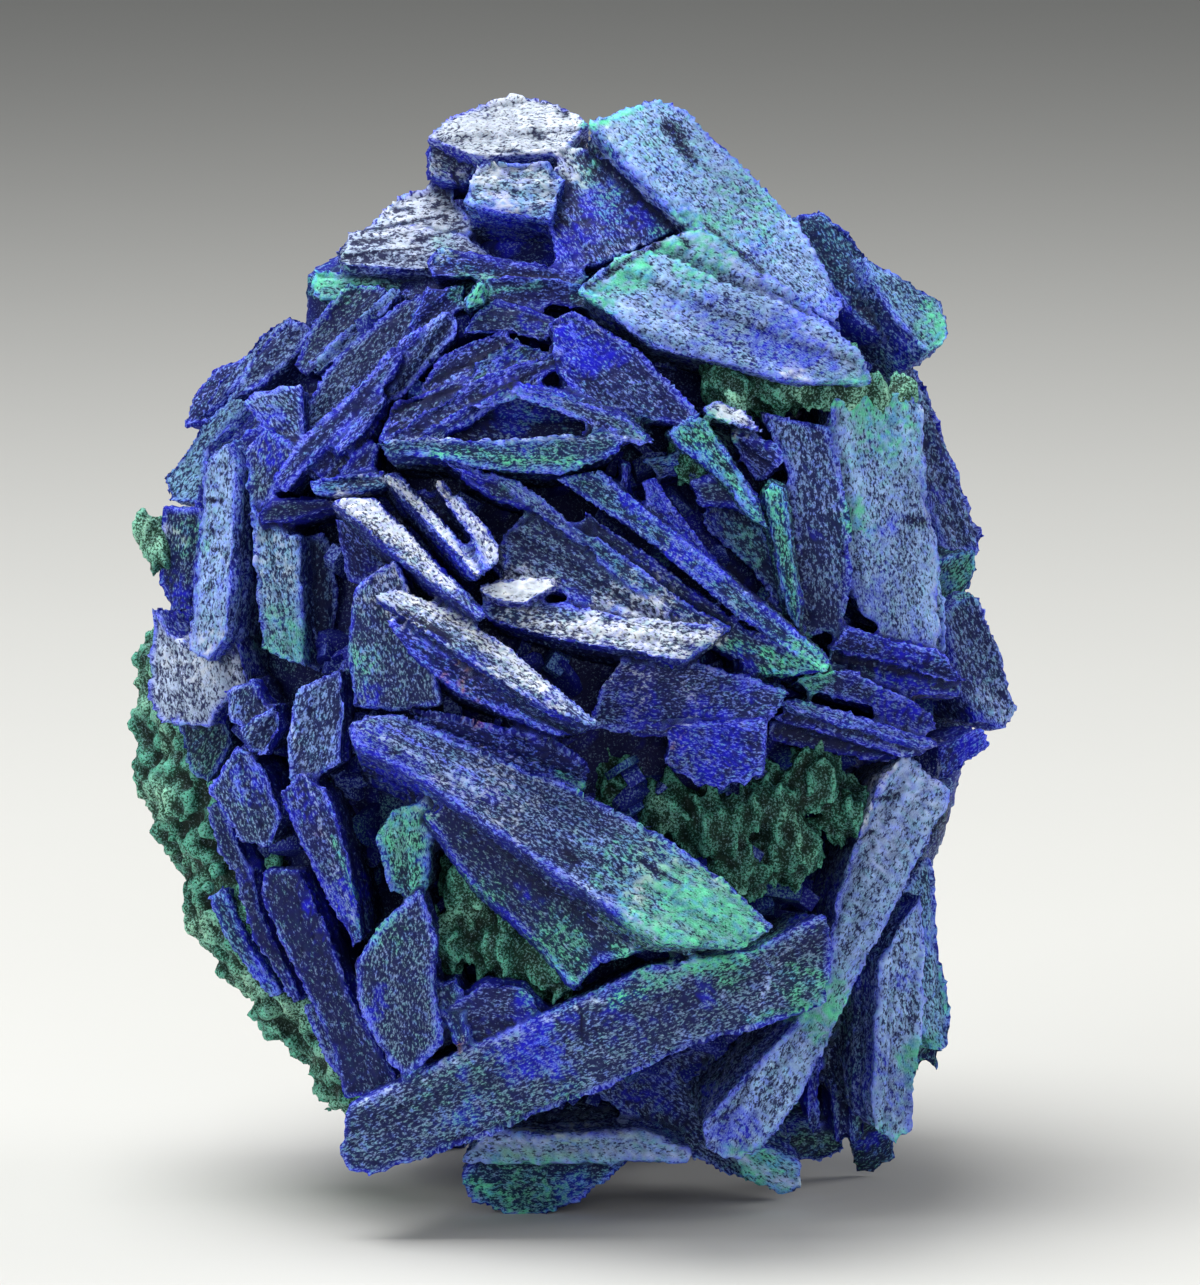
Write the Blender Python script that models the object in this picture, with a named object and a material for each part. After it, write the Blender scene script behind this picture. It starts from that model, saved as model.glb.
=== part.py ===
# Azurite specimen: a rosette of bladed azurite crystals, grown together round a lumpy malachite core.
#
# The crystals that face the viewer are drawn one by one, each by the outline that it shows from the
# front. The outlines are in pixels of the reference view, because that is where they can be read, and
# from_view() turns them into metres. The hidden side is filled with blades that a loop sets round the
# core. One Boolean joins everything, as in the real specimen, and a second trims the tips it rests on.
import math
import random
from collections import namedtuple

import bmesh
import bpy
from mathutils import Vector, noise

MM = 0.001

# Driving dimensions.
HEIGHT_MM = 50.0
HEIGHT_PIXELS = 1130.0
MM_PER_PIXEL = HEIGHT_MM / HEIGHT_PIXELS

# The reference view: its middle pixel, how far away the eye is, and how far it looks down.
VIEW_MIDDLE = (600.0, 642.5)
EYE_DISTANCE_MM = 420.0
LOOK_DOWN = math.radians(8.0)

# Where the middle of the reference view lies, in the part's own frame: the origin is under the middle of
# the specimen's box, on the surface that it rests on.
MIDDLE_MM = Vector((1.12, 1.42, 24.15))

RIGHT = Vector((1.0, 0.0, 0.0))
UP = Vector((0.0, math.sin(LOOK_DOWN), math.cos(LOOK_DOWN)))
TOWARD = Vector((0.0, -math.cos(LOOK_DOWN), math.sin(LOOK_DOWN)))

# The solid middle that every blade is rooted in, as half-sizes to the right, upward and toward the eye.
CORE_PIXEL = (575.0, 655.0)
CORE_TOWARD_MM = -0.5
CORE_HALF_MM = (15.0, 20.0, 13.2)
CORE_LUMP_HEIGHT = 0.07
CORE_LUMP_SPACING = 0.55
CORE_ROUNDNESS = 2

# A blade narrows towards its root to this share of its outline.
ROOT_SHARE = 0.82

# A crystal's outline in view pixels, the millimetres that its middle stands toward the eye, the slope of
# its face to the right and upward, and the way from its face to its root: right, up and toward, in mm.
Crystal = namedtuple("Crystal", "toward lean root outline")

CROWN = {
    "crown_left": Crystal(4.0, (0.0, -1.1), (0.6, -2.2, -3.0), (
        (424, 136), (452, 112), (512, 91), (562, 101), (590, 120), (560, 152), (482, 158))),
    "crown_middle": Crystal(7.0, (0.0, -0.5), (0.3, -2.0, -4.5), (
        (478, 162), (548, 158), (566, 178), (552, 222), (500, 214), (462, 202), (466, 182))),
    "crown_wedge": Crystal(8.0, (0.1, -0.6), (-0.3, -1.0, -5.0), (
        (562, 150), (585, 146), (640, 180), (690, 226), (640, 246), (598, 266), (556, 262), (546, 205))),
    "crown_right": Crystal(7.5, (-0.25, -0.55), (-1.2, -1.4, -4.0), (
        (588, 120), (655, 97), (688, 110), (800, 222), (846, 300), (836, 324), (758, 276), (690, 228),
        (636, 176))),
    "shoulder_plate": Crystal(12.6, (-0.15, -0.35), (-0.8, -1.0, -6.5), (
        (576, 290), (612, 258), (700, 225), (728, 240), (806, 302), (862, 352), (874, 384), (800, 384),
        (730, 366), (652, 346))),
    "step_upper": Crystal(4.0, (0.2, -0.8), (1.4, -1.6, -4.0), (
        (362, 228), (398, 192), (446, 188), (464, 206), (470, 236), (420, 240))),
    "step_lower": Crystal(5.0, (0.2, -0.7), (1.6, -1.4, -4.0), (
        (330, 252), (346, 228), (400, 222), (466, 232), (500, 256), (440, 272), (334, 266))),
    "step_green": Crystal(4.2, (0.2, -0.3), (1.9, -1.3, -4.0), (
        (309, 292), (312, 268), (376, 272), (428, 280), (420, 296), (380, 302), (320, 300))),
    "top_rib_a": Crystal(8.5, (0.0, -0.3), (0.0, -0.3, -5.0), (
        (424, 262), (438, 245), (500, 256), (580, 268), (592, 278), (560, 284), (480, 278), (430, 280))),
    "top_rib_b": Crystal(10.0, (0.0, -0.2), (0.0, -0.3, -5.0), (
        (458, 304), (474, 282), (500, 273), (562, 276), (604, 292), (590, 312), (540, 306), (480, 306))),
    "top_rib_c": Crystal(11.3, (0.0, -0.3), (0.2, -0.3, -5.0), (
        (458, 336), (472, 312), (496, 296), (520, 302), (560, 318), (548, 344), (510, 334))),
}

RIGHT_SIDE = {
    "ear_back": Crystal(1.5, (-0.3, -0.5), (-3.0, -1.8, -3.0), (
        (790, 216), (820, 208), (850, 228), (872, 258), (908, 330), (900, 348), (860, 320), (820, 270))),
    "ear": Crystal(2.5, (-0.3, -0.6), (-3.2, -2.4, -3.0), (
        (862, 250), (905, 275), (944, 298), (951, 316), (948, 344), (930, 354), (898, 320), (872, 280))),
    "flank": Crystal(0.0, (-0.7, 0.0), (-4.5, 0.0, -3.0), (
        (880, 346), (908, 344), (932, 390), (966, 488), (986, 536), (980, 556), (946, 552), (922, 480),
        (906, 400))),
    "flank_lobe": Crystal(1.0, (-0.5, 0.2), (-4.5, 0.5, -2.5), (
        (936, 560), (976, 548), (982, 572), (966, 600), (946, 610), (932, 596))),
    "big_plate": Crystal(11.0, (-0.35, 0.0), (-2.0, 0.3, -6.0), (
        (832, 398), (862, 386), (912, 394), (924, 404), (928, 500), (940, 562), (941, 650), (898, 638),
        (862, 614), (848, 560), (838, 470))),
    "big_plate_rim": Crystal(9.6, (-0.5, 0.0), (-2.5, 0.0, -5.0), (
        (922, 500), (932, 506), (946, 600), (948, 653), (936, 648), (924, 570))),
    "mid_plate": Crystal(12.0, (-0.1, 0.0), (-0.8, 0.2, -6.0), (
        (760, 410), (828, 426), (836, 450), (850, 520), (852, 590), (842, 628), (806, 640), (796, 560),
        (788, 470))),
    "green_finger": Crystal(13.4, (0.0, 0.0), (-0.6, 0.3, -7.0), (
        (762, 494), (772, 478), (786, 484), (794, 530), (804, 600), (803, 642), (786, 618), (770, 550))),
    "dark_wedge": Crystal(10.6, (0.0, 0.0), (0.0, 0.3, -5.0), (
        (700, 430), (726, 424), (782, 438), (786, 458), (768, 482), (758, 500), (730, 462))),
    "right_rib_a": Crystal(13.0, (-0.4, 0.0), (-0.6, -0.3, -6.0), (
        (776, 700), (800, 692), (902, 736), (944, 746), (926, 754), (862, 734), (790, 714))),
    "right_rib_b": Crystal(12.3, (-0.4, 0.1), (-0.8, -0.3, -6.0), (
        (796, 684), (850, 668), (932, 706), (942, 738), (902, 728), (842, 704))),
    "right_rib_c": Crystal(11.3, (-0.4, 0.0), (-0.8, -0.3, -6.0), (
        (840, 652), (900, 658), (964, 676), (962, 698), (900, 694), (850, 672))),
    "right_rib_d": Crystal(11.4, (-0.3, 0.3), (-0.5, 0.4, -6.0), (
        (772, 722), (850, 732), (932, 752), (884, 762), (800, 748))),
    "right_rib_e": Crystal(11.8, (-0.4, -0.2), (-0.8, 0.2, -6.0), (
        (850, 624), (900, 640), (948, 652), (972, 682), (954, 686), (900, 666), (848, 650))),
    "right_edge": Crystal(3.0, (-0.5, 0.0), (-4.5, 0.0, -4.0), (
        (944, 612), (974, 588), (1000, 636), (1012, 682), (1021, 712), (1006, 732), (980, 722), (958, 690))),
    "right_crumb": Crystal(4.4, (-0.3, 0.1), (-3.5, 0.5, -4.0), (
        (938, 744), (984, 726), (994, 746), (960, 774), (938, 790))),
}

LEFT_FAN = {
    "fan_outer": Crystal(-2.5, (0.4, -0.3), (4.0, -1.5, -2.5), (
        (180, 426), (190, 392), (214, 366), (250, 352), (246, 376), (206, 420))),
    "fan_a": Crystal(1.0, (0.5, -0.2), (4.5, -1.0, -3.0), (
        (158, 478), (180, 452), (286, 318), (302, 326), (262, 390), (206, 450), (200, 504), (166, 502))),
    "fan_b": Crystal(4.0, (0.4, -0.3), (3.2, -1.6, -4.0), (
        (228, 400), (252, 352), (284, 316), (312, 326), (300, 350), (262, 384))),
    "fan_c": Crystal(5.5, (0.3, -0.3), (2.8, -1.8, -4.0), (
        (292, 366), (306, 332), (346, 280), (386, 286), (384, 304), (340, 350), (304, 376))),
    "fan_d": Crystal(8.0, (0.3, -0.2), (2.0, -1.2, -5.0), (
        (300, 434), (306, 402), (334, 358), (398, 302), (418, 290), (422, 318), (384, 368), (344, 424),
        (312, 448))),
    "rib_round": Crystal(10.5, (0.1, -0.2), (0.8, -0.8, -6.0), (
        (384, 402), (396, 368), (428, 322), (444, 310), (458, 318), (456, 334), (430, 362), (402, 396))),
    "rib_long": Crystal(11.2, (0.2, -0.1), (1.2, -1.0, -6.0), (
        (270, 480), (300, 438), (352, 392), (392, 346), (402, 352), (394, 374), (354, 418), (308, 464),
        (282, 492))),
    "rib_low": Crystal(11.0, (0.2, -0.1), (1.0, -1.0, -6.0), (
        (308, 476), (326, 440), (352, 408), (384, 386), (386, 404), (378, 432), (344, 462), (324, 478))),
    "rib_a": Crystal(12.6, (0.0, -0.1), (0.6, -0.8, -6.0), (
        (376, 442), (392, 402), (438, 386), (472, 374), (482, 384), (440, 408), (402, 436))),
    "rib_b": Crystal(12.0, (0.0, -0.1), (0.4, -0.6, -6.0), (
        (418, 388), (440, 356), (468, 340), (506, 328), (514, 342), (472, 372), (430, 392))),
    "rib_c": Crystal(12.6, (0.0, -0.1), (0.3, -0.6, -6.0), (
        (462, 388), (474, 360), (516, 336), (548, 350), (522, 366), (484, 390))),
    "rib_d": Crystal(13.6, (0.0, -0.1), (0.3, -0.8, -6.0), (
        (378, 442), (420, 410), (484, 374), (556, 348), (580, 354), (562, 368), (500, 396), (442, 426),
        (404, 442))),
    "rib_flat": Crystal(12.4, (0.0, 0.0), (0.3, -0.4, -6.0), (
        (308, 482), (340, 474), (386, 470), (392, 488), (342, 498), (314, 494))),
    "upper_face": Crystal(13.6, (-0.1, -0.3), (-0.3, -0.5, -6.0), (
        (548, 322), (572, 310), (608, 326), (644, 354), (700, 414), (698, 428), (650, 420), (596, 404),
        (560, 376))),
    "hood_left": Crystal(15.2, (0.0, 0.0), (0.1, 1.0, -6.0), (
        (466, 410), (512, 384), (524, 392), (516, 400), (488, 410))),
    "hood_right": Crystal(15.3, (0.0, 0.0), (0.0, 1.0, -6.0), (
        (508, 384), (562, 393), (626, 416), (660, 446), (638, 449), (590, 428), (514, 398))),
    "mid_beam": Crystal(15.4, (0.0, 0.0), (0.0, -0.9, -6.0), (
        (376, 442), (420, 435), (500, 440), (604, 430), (628, 438), (616, 454), (562, 474), (500, 472),
        (430, 456), (386, 456))),
}

CENTRE = {
    "flash_a": Crystal(15.5, (0.1, -0.8), (-0.4, -1.2, -6.0), (
        (334, 502), (346, 496), (380, 495), (412, 522), (456, 566), (490, 604), (482, 616), (436, 580),
        (380, 538))),
    "flash_b": Crystal(15.5, (0.1, -0.8), (-0.4, -0.9, -6.0), (
        (382, 474), (402, 474), (432, 504), (472, 544), (482, 576), (470, 578), (438, 546), (402, 504))),
    "flash_c": Crystal(15.8, (0.1, -0.8), (-0.4, -0.9, -6.0), (
        (432, 482), (444, 478), (460, 500), (502, 544), (500, 566), (484, 574), (468, 546), (444, 508))),
    "thin_rib": Crystal(15.0, (0.0, -0.3), (0.0, -0.6, -6.0), (
        (426, 448), (446, 452), (500, 478), (544, 496), (524, 504), (470, 484))),
    "shoulder_blade": Crystal(15.5, (0.1, -0.2), (-0.2, -0.8, -6.0), (
        (500, 532), (532, 504), (566, 514), (612, 550), (674, 612), (662, 620), (600, 606), (552, 592),
        (504, 578))),
    "flash_bit": Crystal(16.6, (0.0, -0.6), (0.0, -0.5, -6.0), (
        (478, 584), (502, 578), (552, 577), (556, 586), (526, 605), (500, 602), (480, 594))),
    "flash_d": Crystal(17.0, (0.1, -0.5), (0.0, -0.9, -6.0), (
        (478, 602), (560, 600), (620, 614), (672, 617), (729, 627), (716, 642), (686, 663), (640, 654),
        (560, 642), (488, 622))),
    "flash_e": Crystal(17.4, (0.1, -0.6), (-0.5, -1.0, -6.0), (
        (372, 596), (396, 586), (432, 600), (502, 640), (562, 688), (602, 724), (592, 730), (538, 706),
        (468, 662), (408, 622))),
    "flash_e_under": Crystal(16.0, (0.0, 0.0), (-0.5, -0.9, -6.0), (
        (384, 616), (470, 666), (590, 732), (556, 735), (460, 694), (408, 652))),
    "teal_rim": Crystal(15.8, (0.0, -0.2), (0.2, 0.4, -6.0), (
        (556, 478), (600, 471), (648, 512), (732, 580), (833, 662), (826, 674), (744, 620), (640, 534),
        (588, 502))),
    "teal_face": Crystal(15.0, (0.1, 0.2), (-0.4, -0.6, -6.0), (
        (586, 508), (640, 546), (746, 626), (830, 672), (788, 677), (748, 672), (668, 618), (602, 562),
        (572, 528))),
    "small_green": Crystal(13.0, (0.0, 0.0), (0.0, 0.2, -5.0), (
        (634, 458), (700, 448), (738, 462), (722, 476), (660, 480))),
    "small_tip": Crystal(14.0, (0.0, 0.0), (-0.2, 0.0, -6.0), (
        (664, 432), (690, 416), (706, 420), (740, 470), (770, 530), (752, 520), (712, 470), (676, 446))),
    "small_plate": Crystal(12.4, (0.0, 0.0), (-0.2, 0.3, -5.0), (
        (700, 512), (758, 506), (776, 556), (798, 618), (784, 612), (742, 560), (706, 532))),
    "small_v": Crystal(13.2, (0.0, 0.0), (0.0, 0.2, -5.0), (
        (646, 482), (660, 496), (722, 562), (716, 572), (668, 536), (648, 506))),
    "centre_mass": Crystal(15.4, (0.0, -0.1), (0.0, 0.3, -6.0), (
        (586, 728), (600, 690), (622, 658), (690, 660), (752, 678), (790, 690), (786, 706), (766, 722),
        (700, 726), (652, 738))),
    "centre_block": Crystal(15.2, (0.0, 0.3), (0.0, 1.0, -6.0), (
        (664, 724), (769, 718), (763, 768), (746, 786), (718, 792), (688, 786), (670, 766))),
    "above_spear": Crystal(15.0, (0.0, -0.3), (0.0, -0.3, -6.0), (
        (400, 706), (474, 720), (562, 744), (592, 764), (584, 792), (520, 774), (440, 736))),
}

LEFT_SIDE = {
    "back_slab": Crystal(3.0, (0.6, 0.0), (4.0, 0.0, -4.0), (
        (160, 506), (202, 508), (196, 560), (190, 636), (172, 630), (156, 580))),
    "post_a": Crystal(8.5, (0.6, 0.0), (3.0, 0.0, -5.0), (
        (194, 560), (200, 480), (210, 452), (226, 440), (236, 462), (232, 560), (226, 640), (206, 664),
        (186, 650))),
    "post_a_foot": Crystal(6.5, (0.6, 0.0), (3.5, 0.5, -5.0), (
        (150, 604), (168, 634), (190, 642), (232, 612), (246, 680), (214, 712), (208, 728), (160, 726),
        (146, 700))),
    "block": Crystal(9.0, (0.2, -0.2), (1.0, -0.6, -5.0), (
        (242, 402), (256, 390), (302, 384), (306, 442), (298, 454), (262, 428))),
    "post_b_top": Crystal(9.5, (0.4, 0.0), (2.0, 0.0, -5.0), (
        (244, 452), (262, 424), (302, 452), (280, 480), (268, 502), (250, 504))),
    "post_b": Crystal(10.0, (0.4, 0.0), (1.8, 0.0, -5.0), (
        (248, 500), (262, 528), (300, 534), (302, 600), (306, 669), (288, 664), (260, 648), (252, 580))),
    "post_c": Crystal(9.0, (0.2, 0.0), (1.0, 0.0, -5.0), (
        (300, 536), (326, 534), (337, 588), (336, 644), (320, 674), (306, 668), (298, 600))),
    "wedge": Crystal(10.5, (0.0, 0.0), (0.6, -0.5, -5.0), (
        (256, 512), (270, 498), (334, 494), (346, 508), (282, 526), (258, 528))),
    "deep_triangle": Crystal(11.5, (0.3, 0.3), (0.5, 0.0, -5.0), (
        (332, 516), (352, 520), (404, 562), (364, 584), (346, 580))),
    "centre_post": Crystal(14.8, (0.3, 0.05), (0.8, 0.3, -6.0), (
        (346, 640), (352, 590), (366, 574), (396, 558), (414, 600), (434, 660), (442, 706), (398, 714),
        (350, 710))),
    "lower_post": Crystal(12.5, (0.3, 0.1), (1.2, 0.3, -6.0), (
        (286, 742), (295, 690), (342, 664), (345, 704), (342, 764), (318, 778), (288, 778))),
    "long_left": Crystal(12.8, (0.3, 0.1), (1.2, 0.4, -6.0), (
        (276, 796), (298, 770), (326, 790), (348, 850), (364, 942), (352, 952), (322, 892))),
    "left_dark": Crystal(9.3, (0.4, 0.1), (2.0, 0.5, -5.0), (
        (206, 790), (236, 744), (264, 770), (282, 820), (268, 848), (238, 842))),
    "left_bit_a": Crystal(9.6, (0.2, 0.0), (1.5, 0.3, -5.0), (
        (222, 690), (252, 676), (268, 706), (250, 728), (228, 724))),
    "left_bit_b": Crystal(10.2, (0.2, 0.0), (1.5, 0.3, -5.0), (
        (238, 728), (276, 700), (282, 728), (266, 758), (246, 754))),
    "left_low": Crystal(9.5, (0.35, 0.15), (2.0, 0.8, -6.0), (
        (256, 896), (262, 868), (300, 868), (326, 920), (354, 1000), (400, 1082), (376, 1098), (342, 1102),
        (330, 1048), (290, 968))),
    "left_sliver": Crystal(6.0, (0.3, 0.0), (2.4, 0.6, -5.0), (
        (230, 872), (254, 860), (262, 908), (304, 1002), (292, 1004), (250, 942))),
}

BOTTOM = {
    "spear": Crystal(17.0, (0.05, -0.35), (-1.0, -1.4, -6.0), (
        (348, 722), (366, 711), (400, 712), (480, 748), (576, 786), (652, 828), (716, 870), (779, 927),
        (742, 947), (668, 945), (560, 876), (400, 766), (352, 742))),
    "spear_under": Crystal(14.6, (0.0, 0.1), (-0.3, -0.5, -6.0), (
        (420, 812), (444, 806), (560, 890), (646, 950), (600, 962), (575, 992), (530, 940), (470, 886))),
    "strut": Crystal(10.2, (0.0, 0.1), (-1.5, 0.8, -5.5), (
        (866, 812), (886, 772), (908, 750), (952, 790), (948, 812), (930, 846), (892, 916), (850, 1000),
        (798, 1108), (764, 1150), (732, 1162), (702, 1150), (704, 1122), (770, 1050), (826, 990),
        (836, 900))),
    "beam": Crystal(13.0, (0.05, 0.25), (0.3, 0.9, -5.5), (
        (338, 1152), (345, 1106), (400, 1080), (560, 1006), (650, 966), (750, 950), (826, 912), (834, 940),
        (829, 1000), (812, 1014), (690, 1048), (604, 1090), (480, 1140), (372, 1177), (346, 1174))),
    "kite": Crystal(13.5, (0.1, 0.2), (0.8, 0.6, -6.0), (
        (354, 964), (376, 930), (420, 888), (438, 940), (434, 974), (442, 1044), (406, 1079), (386, 1060),
        (358, 1008))),
    "teal_knob": Crystal(13.8, (0.1, 0.1), (0.8, 0.3, -6.0), (
        (374, 836), (392, 808), (430, 800), (430, 884), (416, 904), (388, 888))),
    "teal_splint": Crystal(13.0, (0.0, 0.0), (0.3, 0.5, -6.0), (
        (436, 986), (458, 972), (470, 1040), (456, 1048))),
    "low_block": Crystal(13.0, (0.0, 0.2), (0.2, 0.6, -6.0), (
        (448, 1008), (482, 980), (524, 984), (546, 1010), (524, 1044), (482, 1048))),
    "pillar_a": Crystal(4.0, (-0.6, 0.1), (-3.5, 1.2, -4.0), (
        (898, 902), (926, 858), (934, 856), (942, 950), (954, 1010), (951, 1046), (934, 1054), (914, 1020),
        (904, 950))),
    "pillar_a_tip": Crystal(2.6, (-0.3, 0.2), (-3.2, 3.4, 0.4), (
        (914, 1036), (944, 1040), (952, 1054), (936, 1076), (914, 1076))),
    "pillar_b": Crystal(6.0, (-0.5, 0.2), (-2.8, 1.6, -4.5), (
        (878, 962), (906, 938), (922, 1020), (914, 1090), (912, 1132), (896, 1146), (874, 1132),
        (870, 1098))),
    "pillar_b_tip": Crystal(-4.0, (0.0, 0.3), (-2.2, 6.5, 8.0), (
        (850, 1146), (900, 1130), (896, 1160), (872, 1179), (856, 1176))),
    "fin_a": Crystal(3.0, (0.0, 0.2), (-1.4, 3.0, -3.0), (
        (806, 1112), (812, 1062), (822, 1058), (822, 1128), (812, 1138))),
    "fin_b": Crystal(2.5, (0.0, 0.2), (-1.4, 3.0, -3.0), (
        (832, 1082), (842, 1036), (850, 1100), (844, 1152), (834, 1150))),
    "fin_c": Crystal(3.0, (0.0, 0.2), (-1.8, 3.0, -3.0), (
        (852, 1040), (872, 1000), (874, 1100), (866, 1150), (850, 1146))),
    "fin_root": Crystal(1.0, (0.0, 0.3), (-1.6, 4.0, -2.0), (
        (766, 1146), (800, 1120), (846, 1130), (850, 1154), (822, 1166), (800, 1162))),
    "under_plate": Crystal(3.2, (-0.2, 0.5), (-0.8, 2.4, -4.0), (
        (584, 1090), (700, 1046), (770, 1030), (770, 1146), (803, 1164), (804, 1190), (786, 1199),
        (742, 1184), (694, 1160), (636, 1122))),
    "bottom_shelf": Crystal(6.0, (0.0, 0.0), (0.0, 1.6, -5.0), (
        (458, 1162), (488, 1126), (540, 1136), (640, 1130), (694, 1150), (690, 1164), (600, 1166),
        (470, 1166))),
    "lowest_tip": Crystal(5.0, (0.0, 0.4), (0.0, 3.0, -3.0), (
        (461, 1178), (474, 1160), (632, 1160), (604, 1186), (580, 1202), (532, 1223), (500, 1216),
        (470, 1202))),
    "foot_left": Crystal(-8.6, (0.1, 0.6), (0.5, 0.8, 3.4), (
        (384, 1090), (400, 1010), (452, 920), (520, 960), (500, 1080), (462, 1158), (404, 1162))),
    "foot_right": Crystal(-9.0, (-0.1, 0.6), (-0.5, 0.8, 3.4), (
        (656, 1060), (640, 960), (706, 910), (770, 1000), (784, 1100), (752, 1160), (700, 1150))),
}

# Malachite lumps as view pixel, millimetres toward the eye, and radius in millimetres.
LEFT_RIM_LUMPS = (
    (184, 668, -1.0, 2.2), (178, 722, -1.6, 2.0), (180, 776, -1.4, 2.1), (202, 820, -1.0, 2.1),
    (226, 862, -0.8, 2.1), (232, 910, -1.2, 2.1), (262, 948, -1.0, 2.2), (296, 984, -0.6, 2.1),
    (330, 1026, 0.0, 2.0), (366, 1058, 0.6, 2.0),
)
LEFT_BED_LUMPS = (
    (244, 700, 1.0, 4.0), (248, 790, 0.6, 4.0), (290, 880, 0.6, 4.4), (336, 960, 0.6, 4.4),
    (400, 1040, 0.6, 4.4),
)
POCKET_LUMPS = (
    (616, 782, 11.4, 1.5), (664, 806, 11.6, 1.4), (712, 826, 11.6, 1.6), (768, 804, 11.0, 1.5),
    (812, 778, 10.4, 1.4), (846, 812, 9.4, 1.3), (790, 850, 10.4, 1.5), (736, 872, 11.4, 1.4),
    (470, 884, 11.6, 1.4), (506, 944, 11.2, 1.7), (556, 966, 11.6, 1.4), (448, 940, 11.4, 1.2),
    (728, 382, 11.2, 1.3), (776, 390, 10.8, 1.2), (836, 376, 8.8, 1.3), (690, 456, 12.4, 0.9),
)

LUMP_PATTERN = 1.7
LUMP_UNEVEN = 0.3

# The fans of blades on the side that the reference view doesn't show.
BACK_FANS = 51
FAN_BLADES = 3
FAN_STEP_MM = 2.5
BACK_LIMIT = 0.10
BACK_HALF_MM = (17.0, 22.0, 16.6)
BACK_REACH = (0.92, 1.05)
BACK_SLANT = 0.2
BACK_SLIDE_MM = 2.0
FAN_SPREAD = 0.09
BACK_LENGTH_MM = (8.0, 15.0)
BACK_DEPTH_MM = (5.6, 8.0)
BACK_THICKNESS_MM = (1.4, 2.8)
BACK_SEED = 7
GOLDEN_ANGLE = math.pi * (3.0 - math.sqrt(5.0))

# The block that trims the lowest tips, so that they rest flat on the surface under the specimen.
FLOOR_BLOCK_MM = 200.0

AZURITE_COLOUR = (0.07, 0.09, 0.42, 1.0)
AZURITE_ROUGHNESS = 0.45


def from_axes(right, up, toward):
    """A point in the part's frame, in metres, from millimetres along the view's three directions."""
    return (MIDDLE_MM + RIGHT * right + UP * up + TOWARD * toward) * MM


def along_axes(right, up, toward):
    """A step in the part's frame, in metres, from millimetres along the view's three directions."""
    return (RIGHT * right + UP * up + TOWARD * toward) * MM


def view_place(pixel, toward):
    """Millimetres right and up of the view's middle for what shows at a pixel from that near the eye."""
    scale = MM_PER_PIXEL * (1.0 - toward / EYE_DISTANCE_MM)
    return (pixel[0] - VIEW_MIDDLE[0]) * scale, (VIEW_MIDDLE[1] - pixel[1]) * scale


def from_view(pixel, toward):
    """The point that shows at a pixel of the reference view, that many millimetres toward the eye."""
    right, up = view_place(pixel, toward)
    return from_axes(right, up, toward)


def face_corners(crystal):
    """The corners of a crystal's front face: its outline, on a plane with the crystal's slopes."""
    count = len(crystal.outline)
    middle = (sum(x for x, _ in crystal.outline) / count, sum(y for _, y in crystal.outline) / count)
    middle_right, middle_up = view_place(middle, crystal.toward)
    corners = []
    for pixel in crystal.outline:
        right, up = view_place(pixel, crystal.toward)
        toward = crystal.toward + crystal.lean[0] * (right - middle_right) + crystal.lean[1] * (up - middle_up)
        corners.append(from_view(pixel, toward))
    return corners


def clear_scene():
    for old in list(bpy.data.objects):
        bpy.data.objects.remove(old, do_unlink=True)


def add_object(name, mesh, collection):
    made = bpy.data.objects.new(name, mesh)
    collection.objects.link(made)
    return made


def prism(name, corners, root, collection):
    """A crystal: a flat face carried along root to a smaller face, closed all round."""
    mesh = bpy.data.meshes.new(name)
    shape = bmesh.new()
    face = shape.faces.new([shape.verts.new(corner) for corner in corners])
    carried = bmesh.ops.extrude_face_region(shape, geom=[face], use_keep_orig=True)["geom"]
    far = [item for item in carried if isinstance(item, bmesh.types.BMVert)]
    centre = sum((vertex.co for vertex in far), Vector()) / len(far)
    for vertex in far:
        vertex.co = centre + (vertex.co - centre) * ROOT_SHARE + root
    bmesh.ops.recalc_face_normals(shape, faces=shape.faces)
    shape.to_mesh(mesh)
    shape.free()
    return add_object(name, mesh, collection)


def lump(name, centre, radius, roundness, collection):
    """A rounded malachite lump, uneven so that no two are alike."""
    mesh = bpy.data.meshes.new(name)
    shape = bmesh.new()
    bmesh.ops.create_icosphere(shape, subdivisions=roundness, radius=radius)
    for vertex in shape.verts:
        uneven = noise.noise(vertex.co.normalized() * LUMP_PATTERN + centre / MM)
        vertex.co = centre + vertex.co * (1.0 + LUMP_UNEVEN * uneven)
    shape.to_mesh(mesh)
    shape.free()
    return add_object(name, mesh, collection)


def core(collection):
    """The lumpy ball of malachite and azurite that the blades stand in."""
    mesh = bpy.data.meshes.new("core")
    shape = bmesh.new()
    bmesh.ops.create_icosphere(shape, subdivisions=CORE_ROUNDNESS, radius=1.0)
    middle_right, middle_up = view_place(CORE_PIXEL, CORE_TOWARD_MM)
    for vertex in shape.verts:
        place = vertex.co.copy()
        swell = 1.0 + CORE_LUMP_HEIGHT * noise.noise(place / CORE_LUMP_SPACING)
        vertex.co = from_axes(
            middle_right + place.x * CORE_HALF_MM[0] * swell,
            middle_up + place.y * CORE_HALF_MM[1] * swell,
            CORE_TOWARD_MM + place.z * CORE_HALF_MM[2] * swell,
        )
    shape.to_mesh(mesh)
    shape.free()
    return add_object("azurite_cluster", mesh, collection)


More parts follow.
